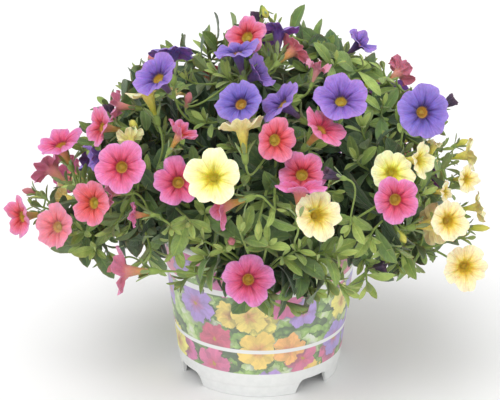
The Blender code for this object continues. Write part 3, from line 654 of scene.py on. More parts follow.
def plan():
    """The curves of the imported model's shoots and flower stalks, and what is in the way of anything new."""
    rng = random.Random(SEED)
    crowns = [crown_tree(k) for k in range(len(CROWN_COLOURS))]
    pots = [tree_of(lathe(pot_profile(), POT_SIDES)), tree_of(soil_body())]
    blooms = FRONT_BLOOMS + BACK_BLOOMS
    corollas = [corolla_tree(*bloom_seat(bloom), bloom.width) for bloom in blooms]
    curves, stems = plan_shoots(rng, corollas, crowns, pots)
    built = crowns + pots
    stalks = []
    for k, bloom in enumerate(blooms):
        seat, facing = bloom_seat(bloom)
        stalks.append(find_stalk(seat, facing, curves, stems, corollas[k + 1 :] + built))
        built.append(corolla_tree(seat, facing, bloom.width, stalks[-1]))
    return curves, stalks, built


def link(name, data):
    """A new object in the scene."""
    made = bpy.data.objects.new(name, data)
    bpy.context.scene.collection.objects.link(made)
    return made


def mesh_of(bm, name):
    """A mesh from one that was being put together and isn't needed any more."""
    mesh = bpy.data.meshes.new(name)
    bm.to_mesh(mesh)
    bm.free()
    return mesh


class Body:
    """A mesh being put together from closed stacks of rings, in millimetres.

    Each point carries two vectors for the materials: place, its spot on a leaf or petal, and kind.
    """

    def __init__(self):
        self.points = []
        self.places = []
        self.kinds = []
        self.faces = []
        self.slots = []
        self.count = 0

    def stack(self, rings, tips, place, kind, slot=0):
        """A closed body through (rows, sides, 3) rings, with a tip point at each end."""
        rows, sides = rings.shape[:2]
        k = np.arange(sides)
        after = (k + 1) % sides
        low = np.arange(rows - 1)[:, None] * sides
        top = (rows - 1) * sides
        quads = np.stack([low + k, low + after, low + sides + after, low + sides + k], -1).reshape(-1, 4)
        first = np.stack([after, k, np.full(sides, rows * sides)], -1)
        last = np.stack([top + k, top + after, np.full(sides, rows * sides + 1)], -1)
        points = np.concatenate([rings.reshape(-1, 3), np.array(tips, float)])
        triangles = np.concatenate([quads[:, :3], quads[:, (0, 2, 3)], first, last])
        a, b, c = (points[triangles[:, i]] - points[0] for i in range(3))
        outward = 1 if np.einsum("ij,ij->", a, np.cross(b, c)) > 0.0 else -1
        for faces in (quads, first, last):
            self.faces += (faces[:, ::outward] + self.count).tolist()
            self.slots += [slot] * len(faces)
        self.points.append(points)
        for store, value in ((self.places, place), (self.kinds, kind)):
            spread = np.broadcast_to(np.asarray(value, float), (rows, sides, 3))
            ends = [spread[0].mean(axis=0), spread[-1].mean(axis=0)]
            store.append(np.concatenate([spread.reshape(-1, 3), ends]))
        self.count += len(points)

    def finish(self, name, materials, slot, *nodes):
        """The piece: it rides on the part's one body, and stands for the nodes named."""
        mesh = bpy.data.meshes.new(name)
        mesh.from_pydata((np.concatenate(self.points) * MM).tolist(), [], self.faces)
        for title, values in (("place", self.places), ("kind", self.kinds)):
            layer = mesh.attributes.new(title, "FLOAT_VECTOR", "POINT")
            layer.data.foreach_set("vector", np.concatenate(values).astype(np.float32).ravel())
        for material in materials:
            mesh.materials.append(material)
        mesh.polygons.foreach_set("material_index", self.slots)
        mesh.shade_smooth()
        mesh.set_sharp_from_angle(angle=SHARP_ANGLE)
        made = link(name, mesh)
        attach(made, "root")
        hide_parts(*nodes)


def smooth(x):
    x = np.clip(x, 0.0, 1.0)
    return x * x * (3.0 - 2.0 * x)


def circle(sides):
    """Evenly spaced angles all the way round."""
    return np.arange(sides) * TAU / sides


def tube_rings(stations, radii, sides):
    """Round rings along (place, direction) stations."""
    turns = circle(sides)
    rings = []
    for (place, along), side, radius in zip(stations, frames_along(stations), radii):
        other = along.cross(side)
        spokes = np.outer(np.cos(turns), side) + np.outer(np.sin(turns), other)
        rings.append(np.array(place) + spokes * np.asarray(radius).reshape(-1, 1))
    return np.array(rings)


# A leaf: (share of the length, half width as a share of the widest), and its ring of eight points
LEAF_OUTLINE = np.array(
    ((0.0, 0.15), (0.12, 0.34), (0.32, 0.76), (0.55, 1.0), (0.76, 0.88), (0.92, 0.48), (1.0, 0.12))
)
LEAF_ACROSS = np.array((1.0, 0.5, 0.0, -0.5, -1.0, -0.5, 0.0, 0.5))
LEAF_UNDER = np.array((0.5, 0.0, 0.0, 0.0, 0.5, 1.0, 1.0, 1.0))
LEAF_DEPTH = np.array((0.35, 0.0, 0.35, 0.0, 0.35, 0.8, 1.5, 0.8))
LEAF_THICK = 0.42


class Blade:
    """A leaf or sepal. It leaves its root along way, faces up, and bends away from up."""

    def __init__(self, root, way, up, length, width, bend, fold, wave):
        way = np.array(way)
        wide = np.cross(np.array(up), way)
        wide /= np.linalg.norm(wide)
        up = np.cross(way, wide)
        shares, spread = LEAF_OUTLINE.T
        turned = (bend * shares)[:, None]
        ways = way * np.cos(turned) - up * np.sin(turned)
        ups = up * np.cos(turned) + way * np.sin(turned)
        steps = np.diff(shares)[:, None] * (ways[1:] + ways[:-1]) * 0.5 * length
        middle = np.array(root) + np.concatenate([np.zeros((1, 3)), np.cumsum(steps, axis=0)])
        half = (spread * width * 0.5)[:, None]
        sideways = np.abs(LEAF_ACROSS)
        height = fold * sideways * half - LEAF_THICK * LEAF_DEPTH * (0.4 + 0.6 * spread[:, None])
        height = height + wave * sideways**2 * np.sin(7.0 * shares + wave * 40.0)[:, None] * half
        self.rings = middle[:, None] + wide * (LEAF_ACROSS * half)[..., None]
        self.rings = self.rings + ups[:, None] * height[..., None]
        self.tips = (middle[0] - ways[0] * 0.3, middle[-1] + ways[-1] * width * 0.06)
        self.place = np.stack(np.broadcast_arrays(LEAF_ACROSS, shares[:, None], LEAF_UNDER), -1)

    def points(self):
        return self.rings[1:, (0, 2, 4)].reshape(-1, 3)


# How far leaves reach, as shares of the mound: less at its shoulders, and not below its hem
LEAF_REACH = 1.04
SHOULDER_DROP = 0.15
HEM_HEIGHT = 53.0
HEM_RISE = 0.5


def beyond_outline(points):
    """True where a point is outside the shape that the foliage keeps to."""
    scaled = (points - np.array(MOUND_CENTRE)) / np.array(MOUND_AXES)
    reach = np.linalg.norm(scaled, axis=1)
    elevation = np.arcsin(np.clip(scaled[:, 2] / reach, -1.0, 1.0))
    shoulder = SHOULDER_DROP * np.where(elevation > 0.0, np.sin(2.0 * elevation) ** 2, 0.0)
    out = np.hypot(points[:, 0], points[:, 1])
    hem = HEM_HEIGHT + HEM_RISE * np.maximum(0.0, out - POT_LIP_RADIUS)
    return bool(((reach > LEAF_REACH - shoulder) | (points[:, 2] < hem)).any())


# What leaves keep clear of, in mm: behind and before a flower's limb, and round its limb, tube and stalk
BEHIND_LIMB = 5.0
BEFORE_LIMB = 13.0
LIMB_ROOM = 2.0
TUBE_ROOM = 3.6
STALK_ROOM_SQUARED = 1.7
WALL_ROOM = 0.8
LEAF_CELL = 2.6
# The pot wall's slope in round figures, and the height where its lip begins to matter to leaves
WALL_LEAN = 0.1257
LIP_FOOT = 86.5
# The shares of a flower's radius that stay in sight, and the flattest slant that it is seen at
FACE_IN_SIGHT = 0.95
MIDDLE_IN_SIGHT = 0.55
FLATTEST_SLANT = 0.12


def in_pot(points):
    """True where a point is in the pot's wall, in the soil or on the floor."""
    out = np.hypot(points[:, 0], points[:, 1])
    height = points[:, 2]
    outer = np.where(height < LIP_FOOT, POT_BASE_RADIUS + WALL_LEAN * height, POT_LIP_RADIUS) + WALL_ROOM
    wall = (height < POT_HEIGHT + WALL_ROOM) & (out < outer) & (out > POT_TOP_RADIUS - 4.0)
    buried = (height < SOIL_TOP + 1.5) & (out < outer)
    return bool((wall | buried | (height < 2.0)).any())


class Room:
    """What leaves keep clear of: the flowers and their stalks, the pot and its soil."""

    def __init__(self, blooms, sizes, curves):
        seats = [bloom_seat(bloom) for bloom in blooms]
        self.seats = np.array([seat for seat, _ in seats])
        self.facings = np.array([facing for _, facing in seats])
        self.radii = np.array([bloom.width * 0.5 for bloom in blooms])
        self.depths = BLOOM_DEPTH * np.array(sizes)
        self.seen = np.array([bloom.pixel is not None for bloom in blooms])
        self.stalks = np.array([place for curve in curves for place in along_curve(curve, 10, 3)])
        self.centres = set()

    def blocked(self, points):
        if beyond_outline(points):
            return True
        away = points[:, None] - self.seats
        depth = np.einsum("pbi,bi->pb", away, self.facings)
        spread = np.sqrt(np.maximum((away**2).sum(-1) - depth**2, 0.0))
        before = (depth > -BEHIND_LIMB) & (depth < BEFORE_LIMB) & (spread < self.radii + LIMB_ROOM)
        beside = (depth > -self.depths) & (depth <= -BEHIND_LIMB) & (spread < TUBE_ROOM)
        if (before | beside).any() or self.hides(points, away, depth) or in_pot(points):
            return True
        near = points[3:, None] - self.stalks
        return bool(((near**2).sum(-1) < STALK_ROOM_SQUARED).any())

    def hides(self, points, away, depth):
        """True where a point is between the photograph's eye and a flower that it shows."""
        sight = points - np.array(EYE)
        sight /= np.linalg.norm(sight, axis=1)[:, None]
        slant = sight @ self.facings.T
        slant = np.where(np.abs(slant) < FLATTEST_SLANT, FLATTEST_SLANT, slant)
        far = -depth / slant
        past = -(away * sight[:, None]).sum(-1)
        on_face = np.linalg.norm(away + sight[:, None] * far[..., None], axis=-1)
        near_line = np.linalg.norm(away + sight[:, None] * past[..., None], axis=-1)
        hidden = (on_face < self.radii * FACE_IN_SIGHT) & (far > 0.0)
        hidden |= (near_line < self.radii * MIDDLE_IN_SIGHT) & (past > 0.0)
        return bool((hidden & self.seen).any())

    def crowded(self, point):
        """True where a leaf's middle shares its small cell of space with an earlier one."""
        cell = tuple(np.floor(point / LEAF_CELL).astype(int))
        if cell in self.centres:
            return True
        self.centres.add(cell)
        return False


def curve_lengths(curve):
    """Distance from the start at each of a curve's steps."""
    points = np.array(along_curve(curve, 24))
    return np.concatenate([[0.0], np.cumsum(np.linalg.norm(np.diff(points, axis=0), axis=1))])


# The golden angle, from one leaf or tip to the next
GOLDEN = TAU * 0.382
# A leaf's length at the tip of a shoot, what it gains down the shoot in mm, and over what way
YOUNG_LENGTH = 8.5
LEAF_GROWTH = 13.5
GROWING_WAY = 15.0
FRESH_WAY = 24.0


def leaf_at(curve, share, left, turn, size, radius, rng):
    """One leaf on a shoot, by how far it is from the tip."""
    place, along = bezier(curve, share)
    side = along.orthogonal().normalized()
    out = side * math.cos(turn) + along.cross(side) * math.sin(turn)
    grown = float(smooth(left / GROWING_WAY))
    length = size * (YOUNG_LENGTH + LEAF_GROWTH * grown) * rng.uniform(0.82, 1.15)
    pitch = math.radians(22.0 + 44.0 * grown + rng.uniform(-12.0, 12.0))
    way = (along * math.cos(pitch) + out * math.sin(pitch) + UPWARD * 0.12).normalized()
    up = along * math.sin(pitch) - out * math.cos(pitch)
    up = Matrix.Rotation(rng.uniform(-0.4, 0.4), 3, way) @ up
    width = length * rng.uniform(0.29, 0.38) * (1.0 + 0.22 * grown)
    bend = math.radians(rng.uniform(8.0, 34.0) + 22.0 * grown)
    fold = rng.uniform(0.05, 0.45)
    return Blade(place + out * radius * 0.5, way, up, length, width, bend, fold, rng.uniform(0.0, 0.12))


def leaves_along(curve, radius, first, size, freshness_and_light, room, rng):
    """A shoot's leaves as (blade, freshness with painted depth shade, way from the tip), closer and smaller
    toward the tip.
    """
    found = []
    lengths = curve_lengths(curve)
    whole = lengths[-1]
    way = first * whole
    turn = rng.uniform(0.0, TAU)
    while way < whole - 0.6:
        left = whole - way
        share = float(np.interp(way, lengths, np.linspace(0.0, 1.0, len(lengths))))
        for shift in (0.0, 0.9, -0.9):
            blade = leaf_at(curve, share, left, turn + shift, size, radius, rng)
            points = blade.points()
            if not room.blocked(points) and not room.crowded(points[7]):
                # Leaves grow fresher toward the tip. The shoot's share here also holds painted shade: it is
                # low for shoots deep in the plant, so their leaves come out darker.
                fresh_and_lit = freshness_and_light * (0.28 + 0.72 * float(smooth(1.0 - left / FRESH_WAY)))
                found.append((blade, fresh_and_lit + rng.uniform(-0.08, 0.08), left))
                break
        turn += GOLDEN + rng.uniform(-0.25, 0.25)
        way += (1.25 if left < 6.0 else 2.3 if left < 12.0 else 4.2) * rng.uniform(0.85, 1.2)
    return found


def add_leaves(body, leaves, rng):
    for blade, fresh_and_lit, _ in leaves:
        body.stack(blade.rings, blade.tips, blade.place, (fresh_and_lit, rng.random(), 0.0), 1)


def add_stem(body, curve, low, high, sides, fresh_and_lit, count):
    """A tapering stem, a little thicker at its nodes."""
    shares = [k / count for k in range(count + 1)]
    stations = [bezier(curve, share) for share in shares]
    radii = [(low + (high - low) * share) * (1.1 if k % 2 else 0.96) for k, share in enumerate(shares)]
    tips = (stations[0][0] - stations[0][1] * 0.3, stations[-1][0] + stations[-1][1] * 0.8)
    body.stack(tube_rings(stations, radii, sides), tips, (0.0, 0.0, 0.0), (fresh_and_lit, 0.5, 0.0), 0)


# Places in the picture where a leafy tip shows: x, y, reach, leaf size, and how much the shoot hangs
SPOTS = (
    (274, 22, 0.97, 0.8, 0.0), (262, 26, 0.95, 0.8, 0.0), (201, 64, 0.84, 0.9, 0.0),
    (213, 70, 0.86, 0.8, 0.0), (186, 78, 0.88, 0.8, 0.0), (227, 76, 0.93, 1.0, 0.0),
    (322, 50, 0.88, 0.9, 0.0), (337, 60, 0.92, 0.9, 0.0), (352, 56, 0.9, 1.0, 0.0),
    (368, 64, 0.92, 1.1, 0.0), (384, 66, 0.91, 1.1, 0.0), (397, 78, 0.9, 0.9, 0.0),
    (392, 96, 0.96, 1.1, 0.0), (372, 92, 0.98, 1.1, 0.0), (300, 78, 0.97, 1.0, 0.0),
    (272, 62, 0.97, 0.9, 0.0), (283, 50, 0.97, 0.9, 0.0), (308, 98, 1.0, 1.1, 0.0),
    (205, 92, 0.98, 1.0, 0.0), (190, 108, 1.0, 0.9, 0.0), (172, 108, 0.98, 1.0, 0.0),
    (160, 122, 0.98, 0.9, 0.0), (205, 122, 1.0, 1.0, 0.0), (150, 140, 0.98, 0.9, 0.0),
    (125, 100, 0.92, 0.8, 0.0), (80, 150, 0.92, 0.8, 0.0), (72, 186, 0.96, 0.9, 0.0),
    (40, 195, 0.95, 0.8, 0.0), (30, 203, 0.94, 0.7, 0.0), (78, 232, 0.92, 0.8, 0.3),
    (108, 232, 0.92, 0.9, 0.3), (130, 195, 1.0, 0.9, 0.0), (150, 205, 1.0, 1.0, 0.0),
    (160, 180, 0.96, 0.9, 0.0), (172, 228, 0.95, 1.0, 0.2), (190, 222, 0.97, 1.0, 0.0),
    (200, 240, 0.9, 1.0, 0.2), (240, 232, 0.98, 1.1, 0.0), (258, 222, 1.0, 1.0, 0.0),
    (268, 245, 0.95, 1.1, 0.2), (285, 258, 0.9, 1.1, 0.4), (300, 250, 0.93, 1.0, 0.2),
    (290, 225, 1.0, 0.9, 0.0), (255, 188, 0.98, 0.9, 0.0), (240, 152, 1.0, 0.9, 0.0),
    (260, 165, 1.0, 1.0, 0.0), (275, 210, 0.98, 0.9, 0.0), (345, 195, 1.0, 1.0, 0.0),
    (356, 170, 1.0, 1.0, 0.0), (370, 190, 0.98, 0.9, 0.0), (350, 140, 1.0, 1.0, 0.0),
    (372, 130, 1.0, 1.0, 0.0), (395, 145, 0.98, 1.0, 0.0), (440, 165, 0.96, 0.9, 0.0),
    (455, 162, 0.93, 0.8, 0.0), (425, 195, 0.97, 0.9, 0.0), (350, 225, 0.98, 1.1, 0.1),
    (370, 240, 0.93, 1.1, 0.3), (388, 250, 0.9, 1.1, 0.5), (402, 255, 0.86, 1.1, 0.8),
    (340, 255, 0.92, 1.1, 0.4), (320, 262, 0.88, 1.1, 0.5), (330, 285, 0.82, 1.2, 0.9),
    (345, 290, 0.82, 1.2, 0.9), (312, 292, 0.82, 1.1, 0.8), (292, 312, 0.79, 1.25, 1.0),
    (270, 305, 0.8, 1.1, 0.9), (368, 288, 0.84, 1.0, 0.7), (468, 238, 0.94, 0.7, 0.2),
    (175, 252, 0.84, 1.0, 0.6), (205, 258, 0.82, 1.1, 0.5), (223, 250, 0.86, 1.0, 0.3),
    (150, 258, 0.86, 0.8, 0.4),
)
# More tips, evenly round the mound: how many, the lowest height, and their reach, leaf size and freshness.
# Freshness is low for the deeper layers so that their leaves are darker: painted shade.
TIP_LAYERS = ((190, -0.2, 0.8, 0.95, 0.95), (110, -0.1, 0.6, 1.15, 0.25), (50, 0.0, 0.4, 1.2, 0.05))
TIP_SPACING = 12.0
# A side shoot is left out where it would be bare: with fewer leaves, or its last leaf further from its tip
LEAST_LEAVES = 4
LEAF_TO_TIP = 4.5


def wanted_tips(rng):
    """Where leafy tips belong: (place, leaf size, hang, freshness with painted depth shade)."""
    tips = [(on_mound((x, y), reach * 0.97), size, hang, 1.0) for x, y, reach, size, hang in SPOTS]
    for count, low, mean, size, fresh_and_lit in TIP_LAYERS:
        for k in range(count):
            elevation = math.degrees(math.asin(low + (1.0 - low) * (k + 0.5) / count))
            under = elevation < 0.0
            reach = mean + rng.uniform(-0.05, 0.05) - (0.06 if under else 0.0)
            place = around_mound(math.degrees(GOLDEN * k) % 360.0, elevation, reach)
            if beyond_outline(np.array([place])):
                continue
            if min((place - tip[0]).length for tip in tips) > TIP_SPACING:
                tips.append((place, size, 0.3 if under else 0.0, fresh_and_lit))
    return tips


def branch_to(tip, hang, curves, trees):
    """A side shoot from one of the main shoots to a tip: (number of the main shoot, curve), or None."""
    choices = []
    for number, curve in enumerate(curves):
        for step in range(5, 20):
            place, along = bezier(curve, step / 20.0)
            gap = tip - place
            bent = max(0.0, 0.2 - gap.normalized().dot(along))
            cost = gap.length * (1.0 + bent) + (100.0 if gap.length < 12.0 else 0.0)
            choices.append((cost, number, step, place, along))
    choices.sort(key=lambda choice: choice[:3])
    for _, number, _, place, along in choices[:12]:
        gap = tip - place
        pull = gap.length * 0.36
        leave = (along * 0.6 + side_of(gap, along) * 0.8).normalized()
        arrive = skin_normal(tip) * 0.8 + gap.normalized() * 0.5 + UPWARD * (0.25 - 1.3 * hang)
        curve = (place, place + leave * pull, tip - arrive.normalized() * pull, tip)
        if not too_near(trees, along_curve(curve, 9, 1), 1.1):
            return number, curve
    return None


def shoots_and_leaves(curves, obstacles, room, materials, rng):
    """The main shoots, and a piece for each with its side shoots, whose curves are returned."""
    branches = [[] for _ in curves]
    kept = []
    for place, size, hang, fresh_and_lit in wanted_tips(rng):
        found = branch_to(place, hang, curves, obstacles)
        if found:
            branches[found[0]].append((found[1], size, fresh_and_lit))
    for k, curve in enumerate(curves):
        body = Body()
        add_stem(body, curve, STEM_FOOT_RADIUS, STEM_TIP_RADIUS, 8, 0.25, 26)
        add_leaves(body, leaves_along(curve, STEM_TIP_RADIUS, 0.3, 1.12, 0.75, room, rng), rng)
        body.finish(f"leafy_shoot_{k + 1:02d}", materials, "leaf", f"shoot_{k + 1:02d}")
        body = Body()
        for branch, size, fresh_and_lit in branches[k]:
            leaves = leaves_along(branch, 0.6, 0.22, size, fresh_and_lit, room, rng)
            if len(leaves) >= LEAST_LEAVES and leaves[-1][2] < LEAF_TO_TIP:
                add_stem(body, branch, 0.95, 0.5, 6, 0.35 + 0.4 * fresh_and_lit, 9)
                add_leaves(body, leaves, rng)
                kept.append(branch)
        if body.count:
            body.finish(f"side_shoots_{k + 1:02d}", materials, "leaf")
    return kept


# A flower's inside and outside as (distance from the calyx base, radius) for one of the usual width
TUBE_OUTSIDE = ((2.0, 1.2), (6.5, 1.45), (9.0, 1.6), (12.0, 2.0), (14.5, 2.6), (16.6, 3.2))
TUBE_INSIDE = ((17.8, 3.0), (17.0, 2.6), (16.3, 2.1))
PISTIL = ((16.2, 1.5), (16.5, 1.5), (16.8, 1.2), (17.0, 0.7))
CALYX_SIDES = 14
SEPAL_WIDTH = 2.5
CALYX_CUP = ((0.3, 0.75), (1.2, 1.5), (3.0, 1.95), (5.4, 2.15), (6.5, 1.8))
THROAT = (18.4, 3.1)
PETAL_SIDES = 60
LIMB_STEPS = 12
LIMB_RISE = 4.0
LOBE = TAU / LOBE_COUNT
PETAL_THICK = 0.36
NOTCHES = {"violet": 0.12, "pink": 0.2, "yellow": 0.18}


class Limb:
    """The spread part of a flower, as radius and height of its front and back at each ring and turn."""

    def __init__(self, bloom, scale, rng):
        turns = circle(PETAL_SIDES)
        offset = (turns + LOBE / 2) % LOBE - LOBE / 2
        lobe = ((turns + LOBE / 2) // LOBE).astype(int) % LOBE_COUNT
        hump = 0.5 + 0.5 * np.cos(LOBE_COUNT * turns)
        notch = NOTCHES.get(bloom.colour, 0.12) * rng.uniform(0.8, 1.25)
        cut = (1.0 - np.abs(np.cos(2.5 * turns))) ** 1.5
        sizes = np.array([rng.uniform(0.92, 1.08) for _ in range(LOBE_COUNT)])
        rim = bloom.width * 0.5 * (1.0 - notch * cut) * (1.0 + (sizes[lobe] - 1.0) * hump)
        rim -= bloom.width * rng.uniform(0.006, 0.022) * np.exp(-((offset / 0.13) ** 2))
        rim += bloom.width * 0.007 * np.sin(9.0 * turns + rng.uniform(0.0, TAU)) * np.sin(4.0 * turns)
        loose = math.radians(15.0 + 12.0 * bloom.fade + (10.0 if bloom.spread < 70.0 else 0.0))
        bends = np.array([rng.uniform(-loose, loose) for _ in range(LOBE_COUNT)])
        lean = rng.uniform(0.0, math.radians(6.0)) * np.cos(turns - rng.uniform(0.0, TAU))
        opened = math.radians(bloom.spread + rng.uniform(-3.0, 6.0)) + bends[lobe] * hump + lean
        curl = math.radians(rng.uniform(6.0, 42.0))
        shares = np.linspace(0.0, 1.0, LIMB_STEPS + 1)[:, None]
        middles = (shares[1:] + shares[:-1]) * 0.5
        depth, throat = THROAT[0] * scale, THROAT[1] * scale
        slope = self.slope(middles, opened, curl)
        step = (rim - throat) * 1.06 / LIMB_STEPS
        rise = np.concatenate([np.zeros((1, PETAL_SIDES)), np.cumsum(np.cos(slope) * step, axis=0)])
        out = np.concatenate([np.zeros((1, PETAL_SIDES)), np.cumsum(np.sin(slope) * step, axis=0)])
        slope = self.slope(shares, opened, curl)
        between = LOBE / 2 - np.abs(offset)
        worn = 1.0 + 2.0 * bloom.fade
        # Grooves down the middle of each lobe and between lobes, and then ripples that grow toward the rim
        push = -1.0 * np.exp(-((offset / 0.11) ** 2)) * np.sin(math.pi * shares**0.8)
        push = push - 1.5 * np.exp(-((between / 0.15) ** 2)) * np.sin(math.pi * shares * 0.75)
        push = push + 0.5 * worn * np.sin(10.0 * turns + rng.uniform(0.0, TAU)) * shares**3
        push = push + 0.3 * worn * np.sin(17.0 * turns + rng.uniform(0.0, TAU)) * shares**4
        push = push + 0.8 * worn * np.sin(3.0 * turns + rng.uniform(0.0, TAU)) * shares**2
        self.turns = turns
        self.shares = shares
        self.front = (throat + out - np.cos(slope) * push, depth + rise + np.sin(slope) * push)
        thick = PETAL_THICK * (1.0 - 0.35 * shares)
        self.back = (self.front[0] + np.cos(slope) * thick, self.front[1] - np.sin(slope) * thick)

    @staticmethod
    def slope(shares, opened, curl):
        """How far the limb has opened at a share of its width, with the outer half curled back."""
        start = math.radians(32.0)
        rolled = np.clip(shares * 2.0 - 1.0, 0.0, 1.0) ** 2
        return start + (opened - start) * smooth(shares / 0.5) + curl * rolled


def revolve(base, facing, side, turns, radii, heights):
    """Rings about an axis from (rows, sides) radii and heights."""
    base, facing, side = np.array(base), np.array(facing), np.array(side)
    other = np.cross(facing, side)
    spokes = np.cos(turns)[:, None] * side + np.sin(turns)[:, None] * other
    return base + heights[..., None] * facing + radii[..., None] * spokes


def round_place(turns, shares):
    """Where a point is on a flower: the cosine and sine of its turn, and its share of the way out."""
    return np.stack(np.broadcast_arrays(np.cos(turns), np.sin(turns), shares), -1)


def add_corolla(body, bloom, base, facing, side, scale, rng):
    """Tube, limb, throat and pistil as one closed body. A row is (heights, radii, share, outside)."""
    limb = Limb(bloom, scale, rng)
    level = np.ones((1, PETAL_SIDES))
    knob = 1.0 + 0.12 * np.cos(3.0 * limb.turns)[None, :]

    def limb_row(face, k, outside):
        return face[1][k : k + 1], face[0][k : k + 1], k / LIMB_STEPS, outside

    def plain_row(height, radius, share, outside, shape=level):
        return height * scale * level, radius * scale * shape, share, outside

    steps = range(LIMB_STEPS + 1)
    rows = [plain_row(height, radius, height / THROAT[0] - 1.0, 1.0) for height, radius in TUBE_OUTSIDE]
    rows += [limb_row(limb.back, k, 1.0) for k in steps]
    rows += [limb_row(limb.front, k, 0.0) for k in reversed(steps)]
    rows += [plain_row(height, radius, (height - THROAT[0]) / 8.0, 0.0) for height, radius in TUBE_INSIDE]
    rows += [plain_row(height, radius, -0.6, 0.0, knob) for height, radius in PISTIL]
    heights = np.concatenate([row[0] for row in rows])
    radii = np.concatenate([row[1] for row in rows])
    rings = revolve(base, facing, side, limb.turns, radii, heights)
    shares = np.array([row[2] for row in rows])[:, None]
    outside = np.array([row[3] for row in rows])[:, None]
    kind = np.stack(np.broadcast_arrays(rng.random(), bloom.fade, outside + 0.0 * limb.turns), -1)
    tips = (base + facing * 1.6 * scale, base + facing * 17.1 * scale)
    body.stack(rings, tips, round_place(limb.turns, shares), kind, 0)


def add_calyx(body, base, facing, side, scale, rng):
    """The green cup under a flower and its five narrow sepals."""
    turns = circle(CALYX_SIDES)
    heights = np.array([[height * scale] * CALYX_SIDES for height, _ in CALYX_CUP])
    radii = np.array([[radius * scale] * CALYX_SIDES for _, radius in CALYX_CUP])
    tips = (base - facing * 0.3, base + facing * 7.0 * scale)
    luck = rng.random()
    body.stack(revolve(base, facing, side, turns, radii, heights), tips, (0, 0, 0), (0.7, luck, 0.0), 1)
    other = facing.cross(side)
    first = rng.uniform(0.0, LOBE)
    for k in range(LOBE_COUNT):
        turn = first + LOBE * k
        out = side * math.cos(turn) + other * math.sin(turn)
        open_way = math.radians(rng.uniform(14.0, 40.0))
        way = facing * math.cos(open_way) + out * math.sin(open_way)
        up = facing * math.sin(open_way) - out * math.cos(open_way)
        root = base + (facing * 5.0 + out * 1.7) * scale
        length = rng.uniform(7.5, 10.0) * scale
        blade = Blade(root, way, up, length, SEPAL_WIDTH * scale, rng.uniform(0.1, 0.8), 0.2, 0.03)
        body.stack(blade.rings, blade.tips, blade.place, (0.75, luck, 0.0), 2)


def add_stalk(body, curve, thickness=0.62):
    """A flower's thin stalk, from inside its stem to inside its calyx."""
    stations = [bezier(curve, k / 10) for k in range(11)]
    stations[0] = (stations[0][0] - stations[0][1] * 1.1, stations[0][1])
    radii = [thickness * (1.25 if k in (0, 10) else 1.0) for k in range(11)]
    tips = (stations[0][0] - stations[0][1] * 0.2, stations[-1][0] + stations[-1][1] * 0.8)
    body.stack(tube_rings(stations, radii, 8), tips, (0, 0, 0), (0.7, 0.5, 0.0), 1)


def bloom_scale(bloom):
    """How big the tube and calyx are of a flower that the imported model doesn't have."""
    return min(1.0, max(0.62, bloom.width / 27.0))


def first_lobe(bloom, facing, rng):
    """Which way one lobe points: toward the picture pixel of its tip, or any way.

    The tip stands LIMB_RISE mm before the throat, and near is what keeps the lobe square to the axis.
    """
    spin = rng.uniform(0.0, TAU)
    if bloom.tip is None:
        return Matrix.Rotation(spin, 3, facing) @ facing.orthogonal().normalized()
    right, up, toward = (facing.dot(axis) for axis in (VIEW_RIGHT, VIEW_UP, VIEW_TOWARD))
    scale = VIEW_LENS / VIEW_DISTANCE
    across = (bloom.tip[0] - bloom.pixel[0]) / scale - right * LIMB_RISE
    upward = (bloom.pixel[1] - bloom.tip[1]) / scale - up * LIMB_RISE
    near = -(across * right + upward * up) / max(0.3, toward)
    way = VIEW_RIGHT * across + VIEW_UP * upward + VIEW_TOWARD * near
    return (way - facing * way.dot(facing)).normalized()


def make_bloom(bloom, curve, scale, materials, rng, *nodes):
    seat, facing = bloom_seat(bloom)
    base = seat - facing * BLOOM_DEPTH * scale
    side = first_lobe(bloom, facing, rng)
    body = Body()
    add_corolla(body, bloom, base, facing, side, scale, rng)
    add_calyx(body, base, facing, side, scale, rng)
    add_stalk(body, curve)
    looks = [materials["coral" if bloom.coral else bloom.colour], materials["stem"], materials["leaf"]]
    body.finish(f"flower_{bloom.name}", looks, f"petal_{bloom.colour}", *nodes)


LONGEST_STALK = 70.0
# A bud and a spent flower as (share of the length, radius) of what stands out of the calyx
BUD_SHAPE = ((0.1, 1.15), (0.25, 1.35), (0.42, 1.6), (0.6, 1.95), (0.76, 1.9), (0.9, 1.2), (0.97, 0.5))
WILT_TUBE = ((0.12, 1.1), (0.3, 1.3), (0.45, 1.5), (0.6, 1.9), (0.74, 2.5), (0.88, 2.9))
WILT_SHAPE = (*WILT_TUBE, (1.0, 3.2), (0.95, 2.2), (0.8, 1.1))
SMALL_SIDES = 30
SMALL_SLOTS = {"wilt": "petal_violet", "bud_yellow": "petal_yellow", "bud_pink": "petal_pink"}


